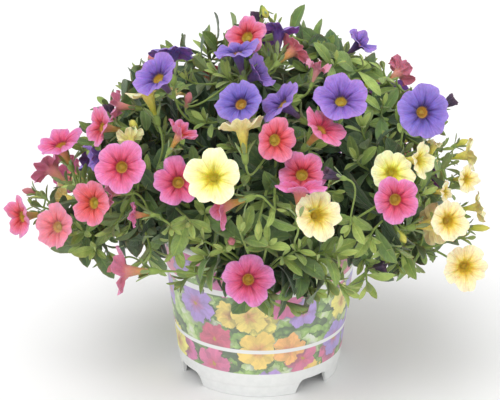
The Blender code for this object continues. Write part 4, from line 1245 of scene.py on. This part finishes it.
def make_small(bloom, curve, materials, rng):
    """A bud, or a spent flower that has closed up and dried."""
    seat, facing = bloom_seat(bloom)
    length = bloom.width
    base = seat - facing * length
    side = facing.orthogonal().normalized()
    wilted = bloom.colour == "wilt"
    turns = circle(SMALL_SIDES)
    shape = WILT_SHAPE if wilted else BUD_SHAPE
    radii = []
    heights = []
    for k, (share, radius) in enumerate(shape):
        twist = turns + share * (0.9 if wilted else 1.6)
        ridge = 0.1 * np.cos(LOBE_COUNT * twist)
        lift = 0.0 * turns
        if wilted:
            ridge = 0.3 * np.cos(LOBE_COUNT * twist) + 0.14 * np.sin(3.0 * twist + k) * share
            lift = 0.5 * np.sin(2 * twist)
        radii.append(radius * (1.0 + ridge * min(1.0, share * 2.0)))
        heights.append(share * length + lift)
    body = Body()
    rings = revolve(base, facing, side, turns, np.array(radii), np.array(heights))
    tips = (base + facing * length * 0.05, base + facing * length * (0.7 if wilted else 1.02))
    place = round_place(turns, np.array([share for share, _ in shape])[:, None])
    body.stack(rings, tips, place, (rng.random(), 0.0, 0.0), 0)
    add_calyx(body, base, facing, side, 0.62 if length < 12.0 else 0.72, rng)
    add_stalk(body, curve, 0.5)
    looks = [materials[bloom.colour], materials["stem"], materials["leaf"]]
    body.finish(f"small_{bloom.name}", looks, SMALL_SLOTS[bloom.colour])


def stem_samples(curves, branches):
    """Places on all the stems where a flower stalk can start."""
    samples = []
    for group, low in ((curves, 6), (branches, 8)):
        for curve in group:
            samples += [bezier(curve, step / 20.0) for step in range(low, 20)]
    return samples


def easy_stalk(base, facing, samples, trees):
    """A short stalk from the nearest suitable stem."""
    choices = []
    for k, (place, _) in enumerate(samples):
        gap = base - place
        if gap.length < LONGEST_STALK:
            turn_back = max(0.0, 0.3 - gap.normalized().dot(facing))
            choices.append((gap.length * (1.0 + turn_back) + (100.0 if gap.length < 5.0 else 0.0), k))
    choices.sort()
    best = None
    for _, k in choices[:30]:
        place, along = samples[k]
        gap = base - place
        out = side_of(gap, along)
        pull = gap.length * 0.34
        curve = (place + out * 0.6, place + out * pull, base - facing * pull, base)
        best = best or curve
        if not too_near(trees, along_curve(curve, 10, 1), 0.8):
            return curve
    return best


def colour(red, green, blue):
    """A colour as the screen shows it, turned into the linear values that shaders use."""
    shares = [value / 255.0 for value in (red, green, blue)]
    return (*[s / 12.92 if s <= 0.04045 else ((s + 0.055) / 1.055) ** 2.4 for s in shares], 1.0)


def join(tree, value, slot):
    """Puts a number, a colour or another node's output into a node's input."""
    if isinstance(value, Field):
        tree.links.new(value.socket, slot)
    else:
        slot.default_value = value


class Field:
    """A value that varies over a surface. Sums and products of fields make the nodes that work them out."""

    def __init__(self, tree, socket):
        self.tree = tree
        self.socket = socket

    def math(self, operation, *others):
        node = self.tree.nodes.new("ShaderNodeMath")
        node.operation = operation
        for value, slot in zip((self, *others), node.inputs):
            join(self.tree, value, slot)
        return Field(self.tree, node.outputs[0])

    def __add__(self, other):
        return self.math("ADD", other)

    def __sub__(self, other):
        return self.math("SUBTRACT", other)

    def __mul__(self, other):
        return self.math("MULTIPLY", other)

    def __truediv__(self, other):
        return self.math("DIVIDE", other)

    def __rsub__(self, other):
        return self * -1.0 + other

    def rise(self, low, high):
        """0 below low, 1 above high, and smooth between."""
        node = self.tree.nodes.new("ShaderNodeMapRange")
        node.interpolation_type = "SMOOTHSTEP"
        for value, slot in zip((self, low, high, 0.0, 1.0), node.inputs):
            join(self.tree, value, slot)
        return Field(self.tree, node.outputs[0])

    def parts(self):
        node = self.tree.nodes.new("ShaderNodeSeparateXYZ")
        join(self.tree, self, node.inputs[0])
        return [Field(self.tree, output) for output in node.outputs]


def attribute(tree, name):
    node = tree.nodes.new("ShaderNodeAttribute")
    node.attribute_name = name
    return Field(tree, node.outputs["Vector"]).parts()


def position(tree):
    return Field(tree, tree.nodes.new("ShaderNodeTexCoord").outputs["Object"])


def vector(tree, x, y, z):
    node = tree.nodes.new("ShaderNodeCombineXYZ")
    for value, slot in zip((x, y, z), node.inputs):
        join(tree, value, slot)
    return Field(tree, node.outputs[0])


def cloud(tree, where, scale, detail=2.0):
    """Soft noise from 0 to 1."""
    node = tree.nodes.new("ShaderNodeTexNoise")
    join(tree, where, node.inputs["Vector"])
    node.inputs["Scale"].default_value = scale
    node.inputs["Detail"].default_value = detail
    return Field(tree, node.outputs[0])


def speckle(tree, scale, detail=2.0):
    """Soft noise over the object itself."""
    return cloud(tree, position(tree), scale, detail)


def ramp(tree, share, stops, steps=False):
    node = tree.nodes.new("ShaderNodeValToRGB")
    node.color_ramp.interpolation = "CONSTANT" if steps else "LINEAR"
    elements = node.color_ramp.elements
    while len(elements) < len(stops):
        elements.new(0.5)
    for element, (place, shade) in zip(elements, stops):
        element.position = place
        element.color = colour(*shade)
    join(tree, share, node.inputs[0])
    return Field(tree, node.outputs[0])


def mix(tree, share, first, second):
    node = tree.nodes.new("ShaderNodeMix")
    node.data_type = "RGBA"
    for value, slot in ((share, 0), (first, 6), (second, 7)):
        join(tree, value, node.inputs[slot])
    return Field(tree, node.outputs[2])


def tint(tree, shade, hue, value):
    """A colour moved a little in hue (0.5 is none) and value (1 is none)."""
    node = tree.nodes.new("ShaderNodeHueSaturation")
    join(tree, shade, node.inputs["Color"])
    join(tree, hue, node.inputs["Hue"])
    join(tree, value, node.inputs["Value"])
    return Field(tree, node.outputs[0])


def principled(name, **settings):
    """A material with the shader's own settings, given by socket name with _ for a space."""
    made = bpy.data.materials.new(name)
    made.use_nodes = True
    shader = made.node_tree.nodes["Principled BSDF"]
    for socket, value in settings.items():
        shader.inputs[socket.replace("_", " ")].default_value = value
    return made, made.node_tree, shader


def dress_shader(tree, shader, shade, rough, height, depth):
    """Colour, roughness and fine relief, depth in millimetres."""
    join(tree, shade, shader.inputs["Base Color"])
    join(tree, rough, shader.inputs["Roughness"])
    bump = tree.nodes.new("ShaderNodeBump")
    bump.inputs["Strength"].default_value = 1.0
    bump.inputs["Distance"].default_value = depth * MM
    join(tree, height, bump.inputs["Height"])
    tree.links.new(bump.outputs[0], shader.inputs["Normal"])


# Petal colours from the bottom of the throat, 0, by its edge, 0.5, to the rim, 1. In the throat stops, the
# darker olive stop at 0.37, deep in the throat, is painted shade.
THROAT_STOPS_AND_SHADE = ((0.2, (196, 164, 62)), (0.37, (180, 142, 50)), (0.45, (206, 162, 58)))
LIMB_STOPS = (0.49, 0.52, 0.58, 0.68, 0.84, 1.0)
TUBE_STOPS = ((0.0, (196, 178, 84)), (0.3, (214, 158, 86)))


def limb_front(*shades):
    return (*THROAT_STOPS_AND_SHADE, *zip(LIMB_STOPS, shades))


VIOLET_LIMB = ((150, 112, 66), (60, 38, 92), (86, 60, 138), (116, 92, 178), (138, 112, 196), (156, 130, 206))
PINK_LIMB = ((190, 122, 50), (158, 36, 50), (190, 58, 78), (214, 90, 116), (218, 110, 152), (218, 140, 188))
CORAL_LIMB = ((186, 112, 50), (160, 38, 48), (194, 56, 68), (220, 92, 112), (224, 110, 140), (222, 134, 170))
YELLOW_THROAT = ((0.0, (176, 148, 40)), (0.4, (206, 182, 48)), (0.52, (214, 192, 46)))
PETALS = {
    "violet": {
        "front": limb_front(*VIOLET_LIMB),
        "back": ((0.0, (150, 140, 90)), (0.25, (110, 86, 120)), (0.5, (94, 68, 146)), (1.0, (120, 92, 182))),
        "vein": (56, 36, 112),
        "faded": (150, 120, 170),
    },
    "pink": {
        "front": limb_front(*PINK_LIMB),
        "back": (*TUBE_STOPS, (0.48, (206, 128, 116)), (0.66, (196, 104, 138)), (1.0, (206, 122, 164))),
        "vein": (160, 36, 70),
        "faded": (224, 160, 172),
    },
    "coral": {
        "front": limb_front(*CORAL_LIMB),
        "back": (*TUBE_STOPS, (0.48, (212, 134, 114)), (0.66, (208, 110, 126)), (1.0, (216, 130, 152))),
        "vein": (164, 36, 60),
        "faded": (236, 178, 184),
    },
    "yellow": {
        "front": (
            *YELLOW_THROAT,
            (0.58, (232, 214, 84)),
            (0.68, (250, 228, 138)),
            (0.82, (254, 236, 178)),
            (1.0, (255, 239, 200)),
        ),
        "back": (
            (0.0, (178, 190, 84)),
            (0.3, (222, 212, 84)),
            (0.55, (248, 228, 138)),
            (1.0, (253, 237, 188)),
        ),
        "vein": (222, 200, 78),
        "faded": (240, 226, 190),
    },
}


def petal_material(name, looks):
    depth = {"Subsurface_Weight": 0.35, "Subsurface_Scale": 0.0012}
    made, tree, shader = principled(f"petal_{name}", **depth, Sheen_Weight=0.12, Specular_IOR_Level=0.25)
    across, around, share = attribute(tree, "place")
    luck, fade, outside = attribute(tree, "kind")
    turn = around.math("ARCTAN2", across)
    lobe = (turn * 2.5).math("SINE").math("ABSOLUTE")
    width = (1.0 - share) * 0.42 + 0.05
    star = (1.0 - (lobe / width).rise(0.1, 1.0)) * (1.0 - share.rise(0.0, 0.8)) * share.rise(-0.04, 0.04)
    rays = cloud(tree, vector(tree, across * 8.0, around * 8.0, share * 0.8), 2.0, 4.0)
    grain = speckle(tree, 900.0)
    blotch = speckle(tree, 210.0, 3.0)
    crinkle = speckle(tree, 430.0, 2.0)
    where = share * 0.5 + (rays - 0.5) * 0.16 + (blotch - 0.5) * 0.06 + 0.5
    front = mix(tree, star * 0.75, ramp(tree, where, looks["front"]), colour(*looks["vein"]))
    both = mix(tree, outside, front, ramp(tree, where, looks["back"]))
    light = (rays - 0.5) * 0.5 + (blotch - 0.5) * 0.5 + (crinkle - 0.5) * 0.3 + (grain - 0.5) * 0.2 + 1.0
    hued = tint(tree, both, (luck - 0.5) * 0.03 + 0.5, light)
    worn = mix(tree, fade, hued, colour(*looks["faded"]))
    height = rays * 0.6 + crinkle * 0.5 + grain * 0.2 + blotch * 0.6 - star * 0.4
    dress_shader(tree, shader, worn, (grain - 0.5) * 0.2 + 0.5, height, 0.8)
    return made


def spent_material(name, stops):
    """Buds and dried flowers: ridged, with colour from the base to the tip."""
    made, tree, shader = principled(f"petal_{name}", Sheen_Weight=0.15, Specular_IOR_Level=0.25)
    across, around, share = attribute(tree, "place")
    rays = cloud(tree, vector(tree, across * 5.0, around * 5.0, share * 1.5), 2.0, 4.0)
    grain = speckle(tree, 1100.0)
    shade = tint(tree, ramp(tree, share + (rays - 0.5) * 0.3, stops), 0.5, (rays - 0.5) * 0.5 + 1.0)
    dress_shader(tree, shader, shade, (grain - 0.5) * 0.2 + 0.62, rays + grain * 0.4, 0.5)
    return made


# Leaf colours from old and deep in the plant, 0, to fresh at a tip, 1. The dark low end is the older leaves'
# own darker green together with painted shade for leaves deep inside the plant.
LEAF_TOP = (
    (0.0, (34, 52, 40)),
    (0.3, (76, 102, 66)),
    (0.6, (110, 138, 72)),
    (0.85, (146, 170, 84)),
    (1.0, (174, 192, 102)),
)
LEAF_BELOW = ((0.0, (72, 92, 68)), (0.5, (118, 140, 96)), (1.0, (160, 178, 108)))


def leaf_material():
    depth = {"Subsurface_Weight": 0.15, "Subsurface_Scale": 0.001}
    made, tree, shader = principled("leaf", **depth, Sheen_Weight=0.25, Specular_IOR_Level=0.35)
    across, along, under = attribute(tree, "place")
    fresh_and_lit, luck, _ = attribute(tree, "kind")
    edge = across.math("ABSOLUTE")
    rib = 1.0 - edge.rise(0.02, 0.16)
    veins = ((along * 8.0 - edge * 1.8) * TAU).math("SINE").rise(0.5, 1.0) * (1.0 - rib)
    blotch = speckle(tree, 220.0, 3.0)
    grain = speckle(tree, 1500.0)
    # Painted shade: a low value darkens leaves deep in the plant, along with the older leaves' own darker
    # green.
    tone = fresh_and_lit + (luck - 0.5) * 0.24 + (blotch - 0.5) * 0.3 + (grain - 0.5) * 0.2
    tone = tone + rib * 0.14 - veins * 0.05
    shade = mix(tree, under, ramp(tree, tone, LEAF_TOP), ramp(tree, tone, LEAF_BELOW))
    shade = tint(tree, shade, (luck - 0.5) * 0.02 + 0.5, (blotch - 0.5) * 0.3 + 1.0)
    height = grain * 0.25 + blotch * 0.4 - rib * 0.5 - veins * 0.3
    dress_shader(tree, shader, shade, (grain - 0.5) * 0.25 + 0.5, height, 0.3)
    return made


def stem_material():
    made, tree, shader = principled("stem", Sheen_Weight=0.2, Specular_IOR_Level=0.3)
    fresh_and_lit, luck, _ = attribute(tree, "kind")
    streak = speckle(tree, 420.0, 4.0)
    grain = speckle(tree, 1600.0)
    stops = ((0.0, (84, 76, 46)), (0.3, (96, 104, 56)), (0.6, (122, 144, 70)), (1.0, (158, 180, 92)))
    # Painted shade: stems of shoots deep in the plant get a low value and come out darker, along with the
    # brown of old stems.
    shade = ramp(tree, fresh_and_lit + (streak - 0.5) * 0.4, stops)
    dress_shader(tree, shader, shade, (grain - 0.5) * 0.2 + 0.6, streak + grain * 0.5, 0.25)
    return made


def bark_material():
    made, tree, shader = principled("bark", Specular_IOR_Level=0.25)
    x, y, z = position(tree).parts()
    plates = cloud(tree, vector(tree, x, y, z * 0.3), 600.0, 5.0)
    grain = speckle(tree, 1800.0)
    stops = ((0.25, (70, 58, 40)), (0.5, (112, 98, 66)), (0.7, (138, 128, 84)), (1.0, (168, 156, 112)))
    dress_shader(tree, shader, ramp(tree, plates, stops), grain * 0.2 + 0.7, plates + grain * 0.3, 0.8)
    return made


def soil_material():
    made, tree, shader = principled("soil", Specular_IOR_Level=0.2)
    crumbs = speckle(tree, 300.0, 6.0)
    grain = speckle(tree, 1500.0, 3.0)
    stops = ((0.25, (34, 24, 18)), (0.5, (62, 45, 33)), (0.68, (92, 68, 48)), (0.85, (140, 112, 80)))
    tone = crumbs * 0.7 + grain * 0.3
    dress_shader(tree, shader, ramp(tree, tone, stops), grain * 0.15 + 0.82, crumbs + grain * 0.5, 1.2)
    return made


def perlite_material():
    made, tree, shader = principled("perlite", Specular_IOR_Level=0.3)
    pores = speckle(tree, 1700.0, 3.0)
    stops = ((0.2, (176, 172, 160)), (0.5, (226, 224, 214)), (0.8, (244, 243, 236)))
    dress_shader(tree, shader, ramp(tree, pores, stops), pores * 0.2 + 0.7, pores, 0.5)
    return made


# The printed band: layers of blossoms on a loose grid as (spacing in mm, shift, chance of an empty place)
PRINT_LOW = 15.5
PRINT_HIGH = 86.8
PRINT_GIRTH = 52.0
BLOSSOM_LAYERS = ((24.0, (0.35, 0.1), 0.22), (28.0, (3.7, 5.45), 0.25))
BLOSSOM_COLOURS = (
    (0.0, (222, 116, 166)),
    (0.3, (246, 226, 120)),
    (0.52, (172, 148, 218)),
    (0.78, (246, 196, 108)),
    (0.86, (210, 98, 146)),
)
PRINT_GREENS = (
    (0.0, (70, 84, 66)),
    (0.3, (96, 126, 76)),
    (0.52, (150, 190, 96)),
    (0.75, (196, 220, 142)),
    (1.0, (226, 232, 214)),
)
PRINT_WAVER = 7.0
PRINT_VEIL = 0.14
PRINT_RELIEF = 0.035
# White stripes as (height, half width)
STRIPES = ((67.0, 1.7), (30.5, 1.2))


def voronoi(tree, where, scale):
    """The nearest cell of a loose grid: its colour, its middle and how far away that is, in cells."""
    node = tree.nodes.new("ShaderNodeTexVoronoi")
    node.voronoi_dimensions = "2D"
    join(tree, where, node.inputs["Vector"])
    node.inputs["Scale"].default_value = scale
    node.inputs["Randomness"].default_value = 0.7
    return [Field(tree, node.outputs[name]) for name in ("Color", "Position", "Distance")]


def blossom_layer(tree, u, v, spacing, shift, empty):
    """Simple five-lobed blossoms: (mask, colour, shade they cast round them)."""
    x = u / spacing + shift[0]
    y = v / spacing + shift[1]
    luck, middle, _ = voronoi(tree, vector(tree, x, y, 0.0), 1.0)
    pick, spin, size = luck.parts()
    mx, my, _ = middle.parts()
    dx = x - mx
    dy = y - my
    away = (dx * dx + dy * dy).math("SQRT")
    turn = dy.math("ARCTAN2", dx) + spin * TAU
    lobe = (turn * 2.5).math("COSINE").math("ABSOLUTE")
    rim = (lobe.math("POWER", 0.6) * 0.13 + 0.31) * (size * 0.3 + 0.8)
    share = away / rim
    there = pick.rise(empty - 0.001, empty)
    mask = (1.0 - share.rise(0.94, 1.0)) * there
    cast = (1.0 - share.rise(0.9, 1.4)) * there * 0.55
    shade = ramp(tree, spin, BLOSSOM_COLOURS, True)
    rays = cloud(tree, vector(tree, turn * 1.4, away * 1.2, pick * 9.0), 3.0, 4.0)
    light = (rays - 0.5) * 0.7 + lobe * 0.2 + share * 0.16 + 0.72
    shade = tint(tree, shade, (size - 0.5) * 0.05 + 0.5, light)
    shade = mix(tree, (1.0 - share.rise(0.1, 0.55)) * 0.55, shade, colour(206, 84, 100))
    shade = mix(tree, 1.0 - share.rise(0.09, 0.17), shade, colour(190, 150, 60))
    return mask, shade, cast


def pot_material():
    """White satin plastic with a printed band of tossed blossoms and leaves between level white stripes."""
    coat = {"Coat_Weight": 0.15, "Coat_Roughness": 0.25}
    made, tree, shader = principled("pot_print", Specular_IOR_Level=0.5, **coat)
    x, y, z = position(tree).parts()
    x, y, z = x / MM, y / MM, z / MM
    around = x.math("ARCTAN2", y * -1.0)
    u = around * PRINT_GIRTH
    blur = cloud(tree, vector(tree, u, z, 0.0), 0.25, 3.0)
    ruffle = cloud(tree, vector(tree, u, z, 40.0), 0.25, 3.0)
    leaf_u = u * 0.13 + z * 0.07 + (blur - 0.5) * 1.1
    leaf_v = z * 0.19 - u * 0.05 + (ruffle - 0.5) * 1.1
    luck, _, edge = voronoi(tree, vector(tree, leaf_u, leaf_v, 0.0), 1.0)
    tone = luck.parts()[0] * 0.75 + (0.75 - edge) * 0.45 + (blur - 0.5) * 0.5
    shade = ramp(tree, tone, PRINT_GREENS)
    print_u = u + (blur - 0.5) * PRINT_WAVER
    print_v = z + (ruffle - 0.5) * PRINT_WAVER
    for layer in BLOSSOM_LAYERS:
        mask, blossom, cast = blossom_layer(tree, print_u, print_v, *layer)
        shade = mix(tree, cast, shade, colour(62, 76, 62))
        shade = mix(tree, mask, shade, blossom)
    white = colour(240, 241, 240)
    for height, half in STRIPES:
        stripe = 1.0 - (z - height).math("ABSOLUTE").rise(half - 0.15, half + 0.15)
        shade = mix(tree, stripe, shade, white)
    out = (x * x + y * y).math("SQRT")
    skin = (out - z * WALL_LEAN).rise(POT_BASE_RADIUS - 0.9, POT_BASE_RADIUS - 0.7)
    band = z.rise(PRINT_LOW - 0.1, PRINT_LOW + 0.1) * (1.0 - z.rise(PRINT_HIGH - 0.1, PRINT_HIGH + 0.1))
    seam = 1.0 - around.math("ABSOLUTE").rise(math.pi - 0.014, math.pi - 0.01)
    grain = speckle(tree, 260.0, 3.0)
    fine = speckle(tree, 2600.0)
    plain = ramp(tree, grain, ((0.2, (232, 234, 233)), (0.8, (243, 244, 243))))
    plain = tint(tree, plain, 0.5, (fine - 0.5) * 0.03 + 1.0)
    veiled = mix(tree, PRINT_VEIL, shade, white)
    shade = mix(tree, band * skin * seam, plain, veiled)
    dress_shader(tree, shader, shade, grain * 0.16 + 0.3, grain * 0.4 + fine * 0.3, PRINT_RELIEF)
    return made


# How finely the visible pot is made, in mm, and how much of its corners is cut
LONGEST_RUN = 6.0
CORNER_CUT = 0.35
FINE_POT_SIDES = 176
DRAIN_SIDES = 28
POT_SHARP_ANGLE = math.radians(32.0)


def fine_profile(points):
    """The pot's section with extra points along its long straight runs."""
    made = [points[0]]
    for (radius, height), (after, rise) in zip(points, points[1:]):
        steps = max(1, math.ceil(math.hypot(after - radius, rise - height) / LONGEST_RUN))
        for k in range(1, steps + 1):
            made.append((radius + (after - radius) * k / steps, height + (rise - height) * k / steps))
    return made


def cut_away(target, bm, name):
    """Takes a helper body away from a mesh for good."""
    bmesh.ops.recalc_face_normals(bm, faces=bm.faces)
    cutter = link(name, mesh_of(bm, name))
    cut = target.modifiers.new(name, "BOOLEAN")
    cut.operation = "DIFFERENCE"
    cut.solver = "EXACT"
    cut.object = cutter
    bpy.context.view_layer.update()
    finished = bpy.data.meshes.new_from_object(target.evaluated_get(bpy.context.evaluated_depsgraph_get()))
    target.modifiers.clear()
    target.data = finished
    bpy.data.objects.remove(cutter)


def notch_cutters():
    """Four wedges that open the foot ring, wider at the bottom, with round upper corners."""
    bm = bmesh.new()
    outline = ((-1.0, 1.15), (NOTCH_HEIGHT - 1.2, 0.84), (NOTCH_HEIGHT - 0.4, 0.76), (NOTCH_HEIGHT, 0.66))
    for middle in NOTCH_ANGLES:
        corners = []
        for height, share in outline:
            for radius in (POT_BASE_RADIUS - 5.0, POT_BASE_RADIUS + 8.0):
                for side in (-1.0, 1.0):
                    turn = middle + side * share * NOTCH_HALF_ANGLE
                    corners.append(bm.verts.new((radius * math.cos(turn), radius * math.sin(turn), height)))
        bmesh.ops.convex_hull(bm, input=corners)
    return bm


def drain_cutters():
    bm = bmesh.new()
    low = FLOOR_TOP - FLOOR_THICK - 2.0
    for k in range(DRAIN_COUNT):
        turn = TAU * k / DRAIN_COUNT
        place = Vector((DRAIN_CIRCLE * math.cos(turn), DRAIN_CIRCLE * math.sin(turn), low))
        ends = (place, place + UPWARD * (FLOOR_THICK + 4.0))
        rings = [add_ring(bm, end, UPWARD, SIDEWAYS, [DRAIN_RADIUS] * DRAIN_SIDES) for end in ends]
        bridge(bm, rings)
        for ring in rings:
            bm.faces.new(ring)
    return bm


def rounded(points):
    """The pot's section with each sharp corner cut, so that it looks moulded."""
    made = [points[0]]
    for before, here, after in zip(points, points[1:], points[2:]):
        for other in (before, after):
            reach = min(CORNER_CUT, 0.3 * math.dist(here, other))
            share = reach / max(1e-6, math.dist(here, other))
            made.append((here[0] + (other[0] - here[0]) * share, here[1] + (other[1] - here[1]) * share))
    return made + [points[-1]]


def make_pot(material):
    bm = lathe(fine_profile(rounded(pot_profile())), FINE_POT_SIDES)
    bmesh.ops.recalc_face_normals(bm, faces=bm.faces)
    made = link("printed_pot", mesh_of(bm, "printed_pot"))
    cut_away(made, notch_cutters(), "notches")
    cut_away(made, drain_cutters(), "drains")
    made.data.transform(Matrix.Scale(MM, 4))
    made.data.materials.clear()
    made.data.materials.append(material)
    made.data.shade_smooth()
    made.data.set_sharp_from_angle(angle=POT_SHARP_ANGLE)
    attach(made, "root")
    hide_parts("pot")


FINE_SOIL_SIDES = 120
CRUMBS = 330
PERLITE_EVERY = 5


def pebble(body, place, size, rng, slot):
    """A small angular lump."""
    turns = circle(7)
    rings = []
    for height in (-0.6, 0.0, 0.6):
        reach = math.sqrt(1.0 - height * height) * size
        lumps = np.array([rng.uniform(0.7, 1.15) for _ in turns]) * reach
        level = np.full(len(turns), height * size * 0.8)
        rings.append(np.stack([np.cos(turns) * lumps, np.sin(turns) * lumps, level], -1))
    turned = Matrix.Rotation(rng.uniform(0, TAU), 3, "Z") @ Matrix.Rotation(rng.uniform(0, TAU), 3, "X")
    turned = np.array(turned)
    rings = np.array(rings) @ turned.T + np.array(place)
    tips = [np.array(place) + turned @ np.array((0, 0, height * size * 0.8)) for height in (-1.0, 1.0)]
    body.stack(rings, tips, (0, 0, 0), (0, 0, 0), slot)


def soil_height(x, y):
    """The soil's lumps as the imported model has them, with finer ones on top."""
    spot = Vector((x, y, 0.0))
    lump = SOIL_LUMP * noise.noise(Vector((x, y, SOIL_TOP)) * SOIL_GRAIN)
    return SOIL_TOP + lump + 0.55 * noise.noise(spot * 0.4) + 0.3 * noise.noise(spot * 0.9)


def make_soil(materials, rng):
    """Rooted potting soil with a crumbly top and bits of perlite on it."""
    turns = circle(FINE_SOIL_SIDES)
    profile = soil_profile()
    top = profile[4][0]
    rows = profile[1:5] + [(top * share, None) for share in np.linspace(0.97, 0.02, 36)]
    rings = []
    for radius, height in rows:
        ring = np.stack([radius * np.cos(turns), radius * np.sin(turns), np.zeros(len(turns))], -1)
        for point in ring:
            point[2] = height if height is not None else soil_height(point[0], point[1])
        rings.append(ring)
    body = Body()
    tips = ((0, 0, profile[0][1]), (0, 0, soil_height(0, 0)))
    body.stack(np.array(rings), tips, (0, 0, 0), (0, 0, 0), 0)
    for k in range(CRUMBS):
        reach = math.sqrt(rng.random()) * (top - 1.5)
        turn = rng.uniform(0.0, TAU)
        x, y = reach * math.cos(turn), reach * math.sin(turn)
        size = rng.uniform(0.5, 1.5)
        pebble(body, (x, y, soil_height(x, y) + size * 0.25), size, rng, 1 if k % PERLITE_EVERY == 0 else 0)
    body.finish("potting_soil", materials, "soil", "soil")


FINE_CROWN_SIDES = 20


def make_crown(index, colour_name, material):
    """A young plant's short woody stem, knobbly where old shoots left it."""
    shares = [k / 16 for k in range(17)]
    stations = crown_stations(index, shares)
    radii = []
    for k, share in enumerate(shares):
        base = crown_radius(share) * (1.0 + 0.05 * math.sin(k * 1.9 + index))
        bark = []
        for j in range(FINE_CROWN_SIDES):
            turn = TAU * j / FINE_CROWN_SIDES
            spot = Vector((math.cos(turn), math.sin(turn), k * 0.35 + index * 5)) * 2.2
            bark.append(base * (1.0 + 0.09 * noise.noise(spot)))
        radii.append(bark)
    tips = (stations[0][0], stations[-1][0] + stations[-1][1] * CROWN_TIP)
    body = Body()
    body.stack(tube_rings(stations, radii, FINE_CROWN_SIDES), tips, (0, 0, 0), (0, 0, 0), 0)
    body.finish(f"woody_crown_{colour_name}", [material], "woody_stem", f"crown_{colour_name}")


# Dried flowers and buds, from the base to the tip
SPENT = {
    "wilt": ((0.0, (118, 112, 76)), (0.4, (88, 70, 84)), (0.8, (66, 52, 78)), (1.0, (96, 72, 92))),
    "bud_yellow": ((0.0, (150, 172, 74)), (0.5, (206, 206, 84)), (1.0, (236, 226, 110))),
    "bud_pink": ((0.0, (150, 150, 90)), (0.5, (196, 120, 120)), (1.0, (214, 128, 140))),
}


def make_materials():
    made = {name: petal_material(name, looks) for name, looks in PETALS.items()}
    made |= {name: spent_material(name, stops) for name, stops in SPENT.items()}
    made["leaf"] = leaf_material()
    made["stem"] = stem_material()
    return made


def make_plant():
    rng = random.Random(LOOKS_SEED)
    materials = make_materials()
    curves, stalks, obstacles = plan()
    packed = FRONT_BLOOMS + BACK_BLOOMS
    extras = [(bloom, bloom_scale(bloom)) for bloom in EXTRA_BLOOMS]
    trees = obstacles + [corolla_tree(*bloom_seat(bloom), bloom.width) for bloom in EXTRA_BLOOMS]
    sizes = [1.0] * len(packed) + [scale for _, scale in extras]
    room = Room(packed + EXTRA_BLOOMS, sizes, stalks)
    branches = shoots_and_leaves(curves, trees, room, [materials["stem"], materials["leaf"]], rng)
    samples = stem_samples(curves, branches)
    for bloom, curve in zip(packed, stalks):
        make_bloom(bloom, curve, 1.0, materials, rng, f"bloom_{bloom.name}")
    for bloom, scale in extras:
        seat, facing = bloom_seat(bloom)
        curve = easy_stalk(seat - facing * BLOOM_DEPTH * scale, facing, samples, obstacles)
        make_bloom(bloom, curve, scale, materials, rng)
    for bloom in SMALL_ONES:
        seat, facing = bloom_seat(bloom)
        curve = easy_stalk(seat - facing * bloom.width, facing, samples, obstacles)
        make_small(bloom, curve, materials, rng)
    make_pot(pot_material())
    make_soil([soil_material(), perlite_material()], rng)
    bark = bark_material()
    for k, name in enumerate(CROWN_COLOURS):
        make_crown(k, name, bark)


FLOOR_RADIUS = 4.0
FLOOR_SIDES = 96


def make_floor():
    bm = bmesh.new()
    turns = [TAU * k / FLOOR_SIDES for k in range(FLOOR_SIDES)]
    bm.faces.new([bm.verts.new((FLOOR_RADIUS * math.cos(t), FLOOR_RADIUS * math.sin(t), 0.0)) for t in turns])
    floor = link("floor", mesh_of(bm, "floor"))
    made, _, shader = principled("floor", Roughness=0.8, Specular_IOR_Level=0.1)
    shader.inputs["Base Color"].default_value = (0.93, 0.93, 0.93, 1.0)
    floor.data.materials.append(made)


def add_sun(name, place, angle, strength):
    """A soft light that is equally strong everywhere, shining from place toward the object."""
    light = bpy.data.lights.new(name, "SUN")
    light.angle = math.radians(angle)
    light.energy = strength
    made = link(name, light)
    made.location = place
    made.rotation_mode = "QUATERNION"
    made.rotation_quaternion = Vector(place).to_track_quat("Z", "Y")


def set_stage():
    """Pale floor, soft studio light and the photograph's camera."""
    scene = bpy.context.scene
    make_floor()
    world = bpy.data.worlds.new("studio")
    world.use_nodes = True
    backdrop = world.node_tree.nodes["Background"]
    backdrop.inputs["Color"].default_value = (1.0, 1.0, 1.0, 1.0)
    backdrop.inputs["Strength"].default_value = 0.72
    scene.world = world
    add_sun("key", (-0.5, -0.9, 1.9), 45.0, 1.6)
    add_sun("fill", (0.7, -1.4, 0.8), 70.0, 0.5)
    lens = bpy.data.cameras.new("camera")
    lens.sensor_width = SENSOR_WIDTH
    lens.lens = VIEW_LENS / PHOTO_WIDTH * SENSOR_WIDTH
    lens.clip_start = 0.05
    lens.clip_end = 20.0
    camera = link("camera", lens)
    camera.location = EYE * MM
    camera.rotation_mode = "QUATERNION"
    camera.rotation_quaternion = Matrix((VIEW_RIGHT, VIEW_UP, VIEW_TOWARD)).transposed().to_quaternion()
    scene.camera = camera
    scene.view_settings.view_transform = "Standard"


make_plant()
set_stage()
